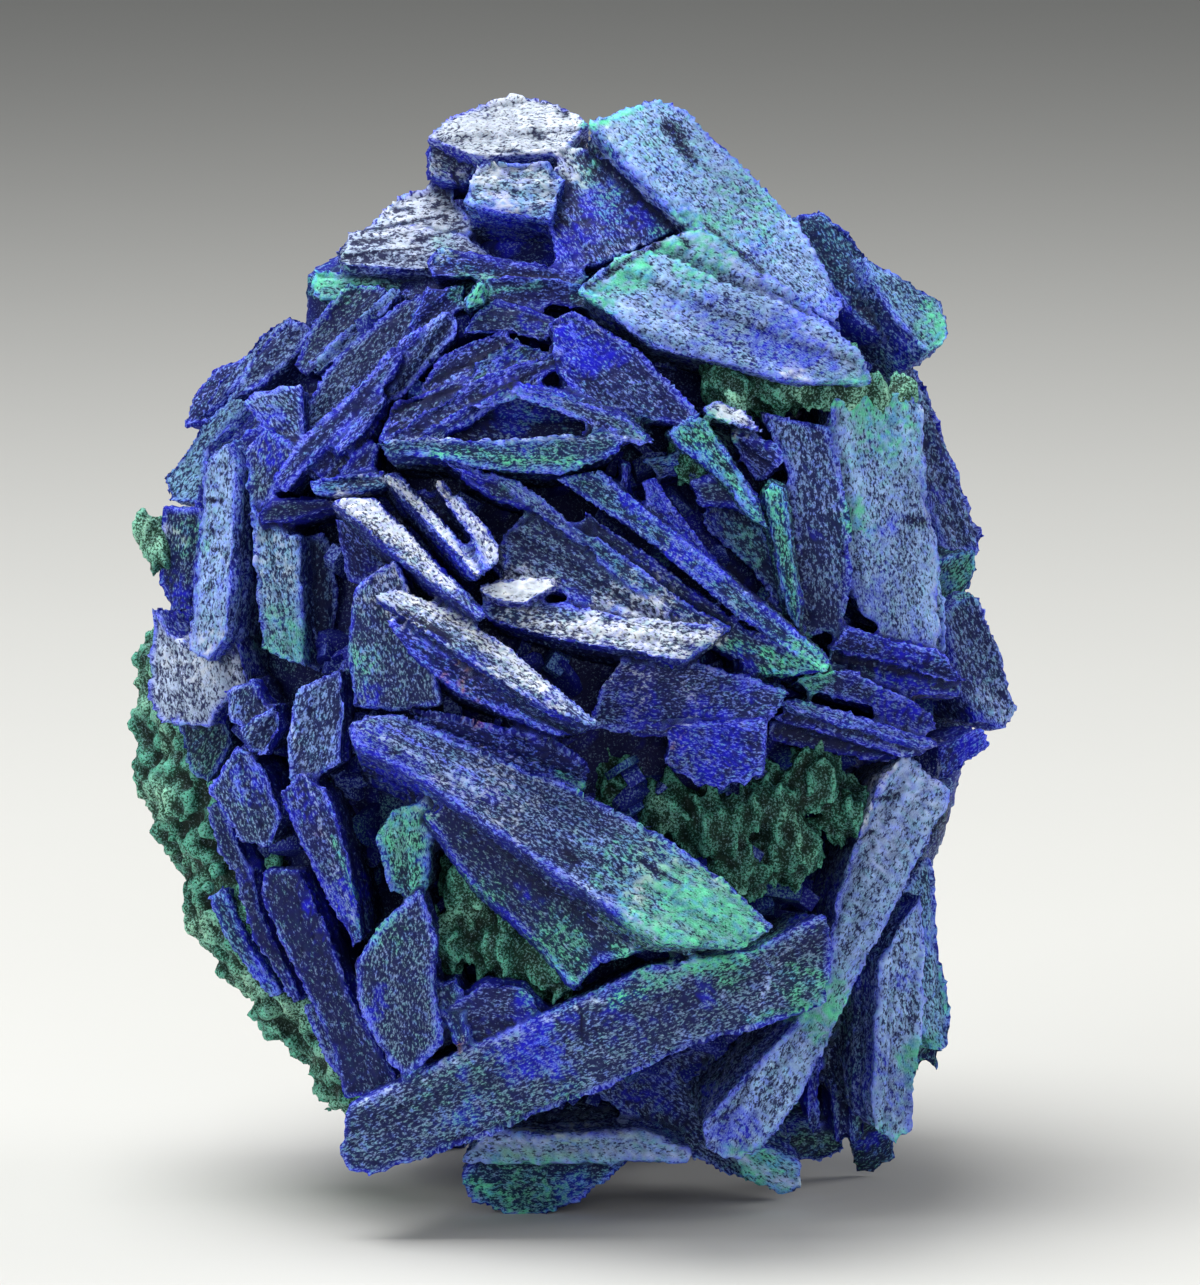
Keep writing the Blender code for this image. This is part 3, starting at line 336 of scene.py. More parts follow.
# %% The centre
CENTRE = {
    "flash_a": Crystal("grey", 15.5, (0.1, -0.8), (-0.4, -1.2, -6.0), (
        (330, 501), (346, 496), (376, 496), (404, 526), (440, 562), (474, 596), (488, 614), (480, 620),
        (428, 582), (372, 536))),
    "flash_b": Crystal("lavender", 15.5, (0.1, -0.8), (-0.4, -0.9, -6.0), (
        (384, 472), (400, 472), (430, 504), (466, 545), (481, 576), (472, 576), (438, 537), (404, 500))),
    "flash_c": Crystal("lavender", 15.8, (0.1, -0.8), (-0.4, -0.9, -6.0), (
        (433, 481), (444, 478), (466, 502), (500, 541), (498, 562), (486, 572), (470, 534), (446, 502))),
    "rail": Crystal("blue", 14.4, (0.0, 0.0), (0.0, 0.2, -5.0), (
        (642, 480), (656, 478), (672, 506), (720, 564), (710, 560), (684, 548), (650, 518))),
    "inner_grey": Crystal("slate", 13.4, (0.0, 0.0), (-0.2, 0.2, -5.0), (
        (690, 482), (739, 470), (756, 494), (764, 520), (730, 508), (700, 506))),
    "inner_stack": Crystal("violet", 12.4, (0.0, 0.0), (-0.4, 0.2, -5.0), (
        (730, 434), (780, 443), (784, 460), (766, 480), (758, 484), (738, 454))),
    "inner_pale": Crystal("chalk", 13.6, (0.0, -0.4), (-0.2, -0.4, -5.0), (
        (700, 408), (721, 399), (743, 410), (762, 432), (740, 426), (714, 419))),
    "inner_post": Crystal("blue", 14.2, (0.0, 0.0), (0.0, 0.2, -5.0), (
        (618, 460), (630, 461), (631, 500), (621, 498))),
    "fine_a": Crystal("lavender", 15.4, (0.0, -0.2), (0.0, -0.5, -6.0), (
        (490, 470), (512, 476), (556, 508), (602, 548), (594, 552), (546, 522), (500, 484))),
    "fine_b": Crystal("dark", 15.2, (0.0, -0.2), (0.0, -0.5, -6.0), (
        (452, 466), (500, 478), (534, 500), (548, 514), (500, 502), (462, 480))),
    "fine_c": Crystal("teal", 16.0, (0.0, -0.1), (0.0, -0.3, -6.0), (
        (566, 520), (600, 536), (668, 588), (734, 628), (724, 636), (660, 608), (596, 562))),
    # A dark recess: its dark finish is painted shade.
    "flash_gap": Crystal("dark", 13.8, (0.0, -0.2), (0.0, -0.5, -6.0), (
        (400, 496), (424, 486), (474, 552), (480, 574), (444, 550))),
    "fold": Crystal("dark", 14.9, (0.0, 0.0), (0.0, -0.4, -6.0), (
        (486, 560), (504, 530), (540, 512), (560, 556), (540, 594), (506, 590))),
    "thin_rib": Crystal("violet", 15.0, (0.0, -0.3), (0.0, -0.6, -6.0), (
        (426, 448), (446, 452), (500, 478), (544, 496), (524, 504), (470, 484))),
    "shoulder_blade": Crystal("grey", 15.5, (0.1, -0.2), (-0.2, -0.8, -6.0), (
        (500, 532), (532, 504), (566, 514), (612, 550), (674, 612), (662, 620), (600, 606), (552, 592),
        (504, 578))),
    "flash_bit": Crystal("white", 16.6, (0.0, -0.6), (0.0, -0.5, -6.0), (
        (478, 584), (502, 578), (552, 577), (556, 586), (526, 605), (500, 602), (480, 594))),
    "flash_d": Crystal("grey", 17.0, (0.1, -0.5), (0.0, -0.9, -6.0), (
        (478, 602), (560, 600), (620, 614), (672, 617), (729, 627), (716, 642), (686, 663), (640, 654),
        (560, 642), (488, 622))),
    "flash_e": Crystal("grey", 17.4, (0.1, -0.6), (-0.5, -1.0, -6.0), (
        (372, 596), (396, 586), (432, 600), (502, 640), (562, 688), (602, 724), (592, 730), (538, 706),
        (468, 662), (408, 622))),
    "flash_e_under": Crystal("blue", 16.0, (0.0, 0.0), (-0.5, -0.9, -6.0), (
        (384, 616), (470, 666), (590, 732), (556, 735), (460, 694), (408, 652))),
    "teal_rim": Crystal("teal", 15.8, (0.0, -0.2), (0.2, 0.4, -6.0), (
        (556, 478), (600, 471), (648, 512), (732, 580), (833, 662), (826, 674), (744, 620), (640, 534),
        (588, 502))),
    "teal_face": Crystal("slate", 15.0, (0.1, 0.2), (-0.4, -0.6, -6.0), (
        (586, 508), (640, 546), (746, 626), (830, 672), (788, 677), (748, 672), (668, 618), (602, 562),
        (572, 528))),
    "small_green": Crystal("moss", 13.0, (0.0, 0.0), (0.0, 0.2, -5.0), (
        (634, 458), (700, 448), (738, 462), (722, 476), (660, 480))),
    "small_tip": Crystal("mint", 14.0, (0.0, 0.0), (-0.2, 0.0, -6.0), (
        (664, 432), (690, 416), (706, 420), (740, 470), (770, 530), (752, 520), (712, 470), (676, 446))),
    "small_plate": Crystal("teal", 12.4, (0.0, 0.0), (-0.2, 0.3, -5.0), (
        (700, 512), (758, 506), (776, 556), (798, 618), (784, 612), (742, 560), (706, 532))),
    "small_v": Crystal("blue", 13.2, (0.0, 0.0), (0.0, 0.2, -5.0), (
        (646, 482), (660, 496), (722, 562), (716, 572), (668, 536), (648, 506))),
    "centre_mass": Crystal("violet", 15.4, (0.0, -0.1), (0.0, 0.3, -6.0), (
        (586, 728), (600, 690), (622, 658), (690, 660), (752, 678), (790, 690), (786, 706), (766, 722),
        (700, 726), (652, 738))),
    "centre_block": Crystal("violet", 15.2, (0.0, 0.3), (0.0, 1.0, -6.0), (
        (664, 724), (769, 718), (765, 780), (754, 776), (746, 790), (734, 782), (722, 796), (709, 787),
        (697, 792), (685, 777), (673, 779), (661, 762), (667, 746))),
    "above_spear": Crystal("blue", 15.0, (0.0, -0.3), (0.0, -0.3, -6.0), (
        (400, 706), (474, 720), (562, 744), (592, 764), (584, 792), (520, 774), (440, 736))),
}

# %% The left side
LEFT_SIDE = {
    "back_slab": Crystal("slate", 3.0, (0.6, 0.0), (4.0, 0.0, -4.0), (
        (160, 506), (202, 508), (196, 560), (190, 636), (172, 630), (156, 580))),
    "post_a": Crystal("pale", 8.5, (0.6, 0.0), (3.0, 0.0, -5.0), (
        (194, 560), (200, 480), (210, 452), (226, 440), (236, 462), (232, 560), (226, 640), (206, 664),
        (186, 650))),
    "post_a_foot": Crystal("chalk", 6.5, (0.6, 0.0), (3.5, 0.5, -5.0), (
        (150, 604), (168, 634), (190, 642), (232, 612), (246, 680), (214, 712), (208, 728), (160, 726),
        (146, 700))),
    "block": Crystal("lavender", 9.0, (0.2, -0.2), (1.0, -0.6, -5.0), (
        (242, 402), (256, 390), (302, 384), (306, 442), (298, 454), (262, 428))),
    "post_b_top": Crystal("grey", 9.5, (0.4, 0.0), (2.0, 0.0, -5.0), (
        (244, 452), (262, 424), (302, 452), (280, 480), (268, 502), (250, 504))),
    "post_b": Crystal("frost", 10.0, (0.4, 0.0), (1.8, 0.0, -5.0), (
        (248, 500), (262, 528), (300, 534), (302, 600), (306, 669), (288, 664), (260, 648), (252, 580))),
    "post_c": Crystal("teal", 9.0, (0.2, 0.0), (1.0, 0.0, -5.0), (
        (300, 536), (326, 534), (337, 588), (336, 644), (320, 674), (306, 668), (298, 600))),
    "wedge": Crystal("dark", 10.5, (0.0, 0.0), (0.6, -0.5, -5.0), (
        (256, 512), (270, 498), (334, 494), (346, 508), (282, 526), (258, 528))),
    "deep_triangle": Crystal("blue", 11.5, (0.3, 0.3), (0.5, 0.0, -5.0), (
        (332, 516), (352, 520), (404, 562), (364, 584), (346, 580))),
    "centre_post": Crystal("grey", 14.8, (0.3, 0.05), (0.8, 0.3, -6.0), (
        (346, 640), (352, 590), (366, 574), (396, 558), (414, 600), (434, 660), (442, 706), (398, 714),
        (350, 710))),
    "lower_post": Crystal("lavender", 12.5, (0.3, 0.1), (1.2, 0.3, -6.0), (
        (286, 742), (295, 690), (342, 664), (345, 704), (342, 764), (318, 778), (288, 778))),
    "long_left": Crystal("violet", 12.8, (0.3, 0.1), (1.2, 0.4, -6.0), (
        (276, 796), (298, 770), (326, 790), (348, 850), (364, 942), (352, 952), (322, 892))),
    "left_dark": Crystal("grey", 9.3, (0.4, 0.1), (2.0, 0.5, -5.0), (
        (206, 790), (236, 744), (264, 770), (282, 820), (268, 848), (238, 842))),
    "left_bit_a": Crystal("grey", 9.6, (0.2, 0.0), (1.5, 0.3, -5.0), (
        (222, 690), (252, 676), (268, 706), (250, 728), (228, 724))),
    "left_bit_b": Crystal("grey", 10.2, (0.2, 0.0), (1.5, 0.3, -5.0), (
        (238, 728), (276, 700), (282, 728), (266, 758), (246, 754))),
    "left_low": Crystal("dark", 9.5, (0.35, 0.15), (2.0, 0.8, -6.0), (
        (256, 896), (262, 868), (300, 868), (326, 920), (354, 1000), (400, 1082), (376, 1098), (342, 1102),
        (330, 1048), (290, 968))),
    "left_recess": Crystal("moss", 5.6, (0.3, 0.0), (2.4, 0.4, -4.0), (
        (174, 726), (226, 716), (234, 744), (208, 786), (190, 776))),
    "left_blade_a": Crystal("slate", 5.6, (0.4, 0.1), (2.4, 0.4, -4.0), (
        (204, 806), (220, 796), (240, 846), (256, 880), (242, 888), (218, 856))),
    "left_blade_b": Crystal("teal", 4.6, (0.4, 0.1), (2.4, 0.4, -4.0), (
        (206, 896), (222, 884), (250, 948), (282, 996), (268, 998), (230, 950))),
    "left_blade_c": Crystal("grey", 4.6, (0.4, 0.1), (2.4, 0.4, -4.0), (
        (302, 1008), (316, 1000), (336, 1046), (340, 1080), (326, 1062))),
    "left_sliver": Crystal("dark", 6.0, (0.3, 0.0), (2.4, 0.6, -5.0), (
        (230, 872), (254, 860), (262, 908), (304, 1002), (292, 1004), (250, 942))),
}

# %% The spear, the beam and the feet
BOTTOM = {
    "spear": Crystal("lavender", 17.0, (0.05, -0.35), (-1.0, -1.4, -6.0), (
        (348, 722), (366, 711), (400, 712), (480, 748), (576, 786), (652, 828), (716, 870), (779, 927),
        (742, 947), (668, 945), (560, 876), (400, 766), (352, 742))),
    "spear_under": Crystal("slate", 14.6, (0.0, 0.1), (-0.3, -0.5, -6.0), (
        (420, 812), (444, 806), (560, 890), (646, 950), (600, 962), (575, 992), (530, 940), (470, 886))),
    "strut": Crystal("pale", 10.2, (0.0, 0.1), (-1.5, 0.8, -5.5), (
        (866, 812), (886, 772), (908, 750), (952, 790), (948, 812), (930, 846), (892, 916), (850, 1000),
        (798, 1108), (764, 1150), (732, 1162), (702, 1150), (704, 1122), (770, 1050), (826, 990),
        (836, 900))),
    "beam": Crystal("grey", 13.0, (0.05, 0.25), (0.3, 0.9, -5.5), (
        (338, 1152), (345, 1106), (400, 1080), (560, 1006), (650, 966), (750, 950), (826, 912), (834, 940),
        (829, 1000), (812, 1014), (690, 1048), (604, 1090), (480, 1140), (372, 1177), (346, 1174))),
    "kite": Crystal("grey", 13.5, (0.1, 0.2), (0.8, 0.6, -6.0), (
        (354, 964), (376, 930), (420, 888), (438, 940), (434, 974), (442, 1044), (406, 1079), (386, 1060),
        (358, 1008))),
    "teal_knob": Crystal("mint", 13.8, (0.1, 0.1), (0.8, 0.3, -6.0), (
        (374, 836), (392, 808), (430, 800), (430, 884), (416, 904), (388, 888))),
    "teal_splint": Crystal("teal", 13.0, (0.0, 0.0), (0.3, 0.5, -6.0), (
        (436, 986), (458, 972), (470, 1040), (456, 1048))),
    "low_block": Crystal("violet", 13.0, (0.0, 0.2), (0.2, 0.6, -6.0), (
        (448, 1008), (482, 980), (524, 984), (546, 1010), (524, 1044), (482, 1048))),
    "pillar_a": Crystal("frost", 4.0, (-0.6, 0.1), (-3.5, 1.2, -4.0), (
        (898, 902), (926, 858), (934, 856), (942, 950), (954, 1010), (951, 1046), (934, 1054), (914, 1020),
        (904, 950))),
    "pillar_a_tip": Crystal("moss", 2.6, (-0.3, 0.2), (-3.2, 3.4, 0.4), (
        (914, 1036), (944, 1040), (952, 1054), (936, 1076), (914, 1076))),
    "pillar_b": Crystal("pale", 6.0, (-0.5, 0.2), (-2.8, 1.6, -4.5), (
        (878, 962), (904, 920), (926, 888), (926, 1020), (915, 1090), (912, 1132), (896, 1146), (874, 1132),
        (870, 1098))),
    "pillar_b_tip": Crystal("moss", -4.0, (0.0, 0.3), (-2.2, 6.5, 8.0), (
        (850, 1146), (900, 1130), (896, 1160), (872, 1179), (856, 1176))),
    "fin_a": Crystal("slate", 3.0, (0.0, 0.2), (-1.4, 3.0, -3.0), (
        (806, 1112), (812, 1062), (822, 1058), (822, 1128), (812, 1138))),
    "fin_b": Crystal("slate", 2.5, (0.0, 0.2), (-1.4, 3.0, -3.0), (
        (832, 1082), (842, 1036), (850, 1100), (844, 1152), (834, 1150))),
    "fin_c": Crystal("slate", 3.0, (0.0, 0.2), (-1.8, 3.0, -3.0), (
        (852, 1040), (872, 1000), (874, 1100), (866, 1150), (850, 1146))),
    "fin_root": Crystal("moss", 1.0, (0.0, 0.3), (-1.6, 4.0, -2.0), (
        (766, 1146), (800, 1120), (846, 1130), (850, 1154), (822, 1166), (800, 1162))),
    "under_plate": Crystal("lavender", 3.2, (-0.2, 0.5), (-0.8, 2.4, -4.0), (
        (584, 1090), (700, 1046), (770, 1030), (770, 1146), (803, 1164), (804, 1190), (786, 1199),
        (742, 1184), (694, 1160), (636, 1122))),
    "low_plate": Crystal("frost", 4.3, (-0.1, 0.5), (-0.6, 2.0, -2.0), (
        (728, 1152), (770, 1146), (803, 1164), (804, 1190), (786, 1199), (744, 1182))),
    "bottom_shelf": Crystal("pale", 6.0, (0.0, 0.0), (0.0, 1.6, -5.0), (
        (458, 1162), (488, 1126), (540, 1136), (640, 1130), (694, 1150), (690, 1164), (600, 1166),
        (470, 1166))),
    "lowest_tip": Crystal("teal", 5.0, (0.0, 0.4), (0.0, 3.0, -3.0), (
        (461, 1178), (474, 1160), (632, 1160), (604, 1186), (580, 1202), (532, 1223), (500, 1216),
        (470, 1202))),
    "foot_left": Crystal("grey", -8.6, (0.1, 0.6), (0.5, 0.8, 3.4), (
        (384, 1090), (400, 1010), (452, 920), (520, 960), (500, 1080), (462, 1158), (404, 1162))),
    "foot_right": Crystal("grey", -9.0, (-0.1, 0.6), (-0.5, 0.8, 3.4), (
        (656, 1060), (640, 960), (706, 910), (770, 1000), (784, 1100), (752, 1160), (700, 1150))),
}

# %% Gather the groups
GROUPS = {
    "azurite_crown": CROWN,
    "azurite_right": RIGHT_SIDE,
    "azurite_fan": LEFT_FAN,
    "azurite_centre": CENTRE,
    "azurite_left": LEFT_SIDE,
    "azurite_base": BOTTOM,
}
print("crystals:", sum(len(group) for group in GROUPS.values()))

# %% [markdown]
# ## From an outline to a crystal
#
# A blade is its front face carried back to a slightly smaller one. That is one extrusion, done by bmesh.
# Many such prisms are put in one mesh, where they run through each other. The Remesh modifier then turns
# the whole heap into a single skin of even quads, which is what a druse needs: a vertex for every grain.

# %% Grow prisms
ROOT_SHARE = 0.82


def face_corners(crystal):
    """The corners of a crystal's front face, on a plane with the crystal's slopes."""
    count = len(crystal.outline)
    middle = (sum(x for x, _ in crystal.outline) / count, sum(y for _, y in crystal.outline) / count)
    middle_right, middle_up = view_place(middle, crystal.toward)
    corners = []
    for pixel in crystal.outline:
        right, up = view_place(pixel, crystal.toward)
        slope_right, slope_up = crystal.lean
        toward = crystal.toward + slope_right * (right - middle_right) + slope_up * (up - middle_up)
        corners.append(from_view(pixel, toward))
    return corners


def add_prism(shape, corners, root):
    """Adds one crystal to a bmesh."""
    face = shape.faces.new([shape.verts.new(corner) for corner in corners])
    carried = bmesh.ops.extrude_face_region(shape, geom=[face], use_keep_orig=True)["geom"]
    far = [item for item in carried if isinstance(item, bmesh.types.BMVert)]
    centre = sum((vertex.co for vertex in far), Vector()) / len(far)
    for vertex in far:
        vertex.co = centre + (vertex.co - centre) * ROOT_SHARE + root


# %% [markdown]
# ## Blades that the front doesn't show
#
# The hidden side has no outlines to read. There, fans of three nearly parallel blades sit on a ball by the
# golden angle, which spreads points evenly. The seed and the order of the draws are those of the packed
# model, so each blade lies exactly where its solid does.

# %% Work out the back fans
CORE_PIXEL = (575.0, 655.0)
CORE_TOWARD_MM = -0.5
CORE_HALF_MM = (15.0, 20.0, 13.2)
CORE_LUMP_HEIGHT = 0.07
CORE_LUMP_SPACING = 0.55
BACK_FANS = 51
FAN_BLADES = 3
FAN_STEP_MM = 2.5
BACK_LIMIT = 0.10
BACK_HALF_MM = (17.0, 22.0, 16.6)
BACK_REACH = (0.92, 1.05)
BACK_SLANT = 0.2
BACK_SLIDE_MM = 2.0
FAN_SPREAD = 0.09
BACK_LENGTH_MM = (8.0, 15.0)
BACK_DEPTH_MM = (5.6, 8.0)
BACK_THICKNESS_MM = (1.4, 2.8)
BACK_SEED = 7
GOLDEN_ANGLE = math.pi * (3.0 - math.sqrt(5.0))


def back_blade(middle, along, outward, flat, chance):
    """The corners of one hidden blade's face, and its step to the other face."""
    length = chance.uniform(*BACK_LENGTH_MM)
    depth = chance.uniform(*BACK_DEPTH_MM)
    step = flat * chance.uniform(*BACK_THICKNESS_MM)
    slant = chance.uniform(-BACK_SLANT, BACK_SLANT)
    outline = (
        (-0.50, -1.0), (-0.46, -0.3), (-0.22 + slant, 0.0), (0.22 + slant, 0.0), (0.50, -0.35), (0.46, -1.0),
    )
    corners = [middle + along * length * a + outward * depth * b - step / 2 for a, b in outline]
    return [from_axes(*corner) for corner in corners], along_axes(*step)


def back_fan(number, chance):
    """The blades of one fan, as pairs of corners and step."""
    height = 1.0 - 2.0 * (number + 0.5) / BACK_FANS
    ring = math.sqrt(1.0 - height * height)
    turn = number * GOLDEN_ANGLE
    outward = Vector((math.cos(turn) * ring, height, math.sin(turn) * ring))
    if outward.z > BACK_LIMIT:
        return []
    spin = chance.uniform(0.0, math.pi)
    side = outward.orthogonal().normalized()
    along = side * math.cos(spin) + outward.cross(side) * math.sin(spin)
    flat = outward.cross(along)
    right, up = view_place(CORE_PIXEL, CORE_TOWARD_MM)
    blades = []
    for member in range(FAN_BLADES):
        reach = chance.uniform(*BACK_REACH)
        offset = (member - (FAN_BLADES - 1) / 2) * FAN_STEP_MM
        half = Vector(BACK_HALF_MM) * reach
        middle = Vector((right, up, CORE_TOWARD_MM)) + Vector(a * b for a, b in zip(outward, half))
        middle += flat * offset + along * chance.uniform(-BACK_SLIDE_MM, BACK_SLIDE_MM)
        tilted = (outward + flat * offset * FAN_SPREAD).normalized()
        blades.append(back_blade(middle, along, tilted, along.cross(tilted), chance))
    return blades


chance = random.Random(BACK_SEED)
back_blades = [blade for number in range(BACK_FANS) for blade in back_fan(number, chance)]
print("back blades:", len(back_blades))

# %% [markdown]
# ## One skin for a group
#
# The prisms are fused by a voxel remesh. Its quads are about as large as the grains of the druse, so the
# next steps can move and paint single grains. The back is seen less and gets larger quads. Where the core
# will hide a group's roots, the quads are merged again, so that they are spent on what shows.

# %% Fuse a group
GROUP_VOXEL_MM = {
    "azurite_crown": 0.20, "azurite_right": 0.20, "azurite_fan": 0.17, "azurite_centre": 0.16,
    "azurite_left": 0.19, "azurite_base": 0.21,
}
BACK_VOXEL_MM = 0.31
HIDDEN_RATIO = 0.90
HIDDEN_KEPT = 0.10


def read_points(mesh):
    """The places of a mesh's vertices, in metres, one row each."""
    flat = np.empty(len(mesh.vertices) * 3, dtype=np.float32)
    mesh.vertices.foreach_get("co", flat)
    return flat.reshape(-1, 3).astype(float)


def read_normals(mesh):
    """The ways that a mesh's vertices face, one row each."""
    flat = np.empty(len(mesh.vertices) * 3, dtype=np.float32)
    mesh.vertices.foreach_get("normal", flat)
    return flat.reshape(-1, 3).astype(float)


def new_object(name, mesh):
    """Puts a mesh in the scene."""
    made = bpy.data.objects.new(name, mesh)
    bpy.context.scene.collection.objects.link(made)
    return made


def heap_of_prisms(name, shape):
    """One mesh of all the prisms of a bmesh."""
    mesh = bpy.data.meshes.new(name)
    shape.to_mesh(mesh)
    return mesh


def take_modifiers(made):
    """Makes an object's modifiers part of its mesh."""
    old = made.data
    graph = bpy.context.evaluated_depsgraph_get()
    mesh = bpy.data.meshes.new_from_object(made.evaluated_get(graph))
    made.modifiers.clear()
    made.data = mesh
    bpy.data.meshes.remove(old)


def core_ratio(points, half_mm=CORE_HALF_MM):
    """How far points in mm are from the core's middle: 1 on its surface."""
    right, up = view_place(CORE_PIXEL, CORE_TOWARD_MM)
    centre = np.array(from_axes(right, up, CORE_TOWARD_MM)) / MM
    view_axes = np.array((RIGHT, UP, TOWARD)).T
    return np.linalg.norm(((points - centre) @ view_axes) / np.array(half_mm), axis=1)


def fused(name, heap, voxel_mm):
    """Turns a heap of closed shapes into one skin of even quads, coarse where the core hides it."""
    made = new_object(name, heap)
    remesh = made.modifiers.new("skin", "REMESH")
    remesh.mode = "VOXEL"
    remesh.voxel_size = voxel_mm * MM
    remesh.adaptivity = 0.0
    take_modifiers(made)
    hidden = core_ratio(read_points(made.data) / MM) < HIDDEN_RATIO
    made.vertex_groups.new(name="hidden").add(np.where(hidden)[0].tolist(), 1.0, "REPLACE")
    merge = made.modifiers.new("merge", "DECIMATE")
    merge.ratio = 1.0 - (1.0 - HIDDEN_KEPT) * float(hidden.mean())
    merge.vertex_group = "hidden"
    take_modifiers(made)
    made.vertex_groups.clear()
    return made


# %% [markdown]
# ## Knowing which crystal a grain sits on
#
# After the remesh no vertex knows its crystal. A search tree over the prisms answers that: each vertex asks
# for the nearest prism face. The answer says which crystal it is on, and whether on its broad front face or
# on one of its sides, which look different on a real blade.

# %% Make the search tree
# What the relief and the paint need to know about a crystal, all in millimetres: its finish, the middle of
# its face, the face's long and cross directions, the way out of the face, and the face's corners.
Blade = namedtuple("Blade", "finish middle along across out corners seed")


def describe(finish, corners, root, seed):
    """Measures a crystal's own directions from its outline."""
    places = np.array(corners) / MM
    middle = places.mean(axis=0)
    _, _, axes = np.linalg.svd(places - middle)
    along, across, out = axes
    if np.dot(out, np.array(root)) > 0.0:
        out = -out
    return Blade(finish, middle, along, across, out, places, seed)


def grow(blade_list, extra=None):
    """Builds prisms from (finish, corners, root): the bmesh, its blades, and the owner of each face."""
    shape = bmesh.new()
    blades = []
    owners = []
    for seed, (finish, corners, root) in enumerate(blade_list):
        add_prism(shape, corners, root)
        blades.append(describe(finish, corners, root, seed))
        shape.faces.ensure_lookup_table()
        added = len(shape.faces) - len(owners)
        owners += [(seed, number == 0) for number in range(added)]
    if extra:
        extra(shape)
        owners += [(-1, False)] * (len(shape.faces) - len(owners))
    bmesh.ops.recalc_face_normals(shape, faces=shape.faces)
    return shape, blades, owners


def ask_tree(shape, owners, points):
    """For each point, the number of its crystal and whether it is on the front face."""
    tree = BVHTree.FromBMesh(shape)
    numbers = np.empty(len(points), dtype=int)
    fronts = np.empty(len(points), dtype=bool)
    for index, point in enumerate(points):
        face = tree.find_nearest(point)[2]
        numbers[index], fronts[index] = owners[face]
    return numbers, fronts


# %% [markdown]
# ## Relief: steps, chips and grains
#
# Azurite blades grow in thin layers. On the front face the layers' edges show as long straight steps, and
# on the sides as lines that run round the blade. Both are a staircase of random widths and heights, read
# across the face or down into it. The rims are chipped by a coarse noise, and every vertex gets a little
# random push of its own, which is the druse.

# %% Carve the relief
STEP_WIDTH_MM = (0.35, 1.5)
STEP_HEIGHT_MM = (-0.28, 0.06)
LAYER_WIDTH_MM = (0.25, 0.7)
LAYER_HEIGHT_MM = (-0.15, 0.05)
LEDGE_REACH_MM = 0.14
STEP_BEND_MM = 0.22
CHIP_REACH_MM = 0.7
CHIP_DEPTH_MM = 0.36
CHIP_SIZE_MM = 0.9
SWELL_MM = 0.10
SWELL_SIZE_MM = 2.2
GRAIN_MM = 0.035
STAIR_SPAN_MM = 16.0


def staircase(values, widths, heights, dice):
    """Reads a random staircase at the given places: its height there, and how close its next ledge is."""
    edges = np.cumsum(dice.uniform(*widths, size=int(2 * STAIR_SPAN_MM / widths[0]))) - STAIR_SPAN_MM
    levels = dice.uniform(*heights, size=len(edges) + 1)
    step = np.searchsorted(edges, values)
    below = np.abs(values - edges[np.clip(step - 1, 0, len(edges) - 1)])
    above = np.abs(values - edges[np.clip(step, 0, len(edges) - 1)])
    return levels[step], np.clip(1.0 - np.minimum(below, above) / LEDGE_REACH_MM, 0.0, 1.0)


def noise_at(points, size_mm, shift=0.0):
    """Smooth noise from -1 to 1 at places in millimetres."""
    move = Vector((shift, shift * 0.7, -shift))
    return np.array([noise.noise(Vector(point) / size_mm + move) for point in points])


def rim_distance(points, blade):
    """How far each point is from the edge of the blade's front face."""
    nearest = np.full(len(points), 1e3)
    for first, second in zip(blade.corners, np.roll(blade.corners, -1, axis=0)):
        edge = second - first
        share = np.clip(((points - first) @ edge) / (edge @ edge), 0.0, 1.0)
        foot = first + share[:, None] * edge
        nearest = np.minimum(nearest, np.linalg.norm(points - foot, axis=1))
    return nearest


def relief(points, numbers, fronts, blades, dice):
    """How far each point moves out, and its distance from the rim, its nearness to a ledge and its depth."""
    push = SWELL_MM * noise_at(points, SWELL_SIZE_MM)
    bend = noise_at(points, 3.0, 5.0)
    chips = noise_at(points, CHIP_SIZE_MM, 9.0)
    rim = np.full(len(points), 5.0)
    ledge = np.zeros(len(points))
    deep = np.zeros(len(points))
    for number, blade in enumerate(blades):
        mine = np.where(numbers == number)[0]
        if not len(mine):
            continue
        own = np.random.default_rng(1000 + blade.seed)
        offset = points[mine] - blade.middle
        cross = offset @ blade.across + STEP_BEND_MM * bend[mine]
        depth = -(offset @ blade.out)
        deep[mine] = depth
        front = fronts[mine]
        steps, step_ledge = staircase(cross, STEP_WIDTH_MM, STEP_HEIGHT_MM, own)
        bent_depth = depth + STEP_BEND_MM * bend[mine]
        layers, layer_ledge = staircase(bent_depth, LAYER_WIDTH_MM, LAYER_HEIGHT_MM, own)
        push[mine] += np.where(front, steps, layers)
        ledge[mine] = np.where(front, 0.5 * step_ledge, layer_ledge)
        rim[mine] = rim_distance(points[mine], blade)
        near = np.clip(1.0 - rim[mine] / CHIP_REACH_MM, 0.0, 1.0)
        push[mine] -= CHIP_DEPTH_MM * near * np.clip(chips[mine] - 0.1, 0.0, 1.0)
    push += dice.normal(0.0, GRAIN_MM, len(points))
    return push, rim, ledge, deep
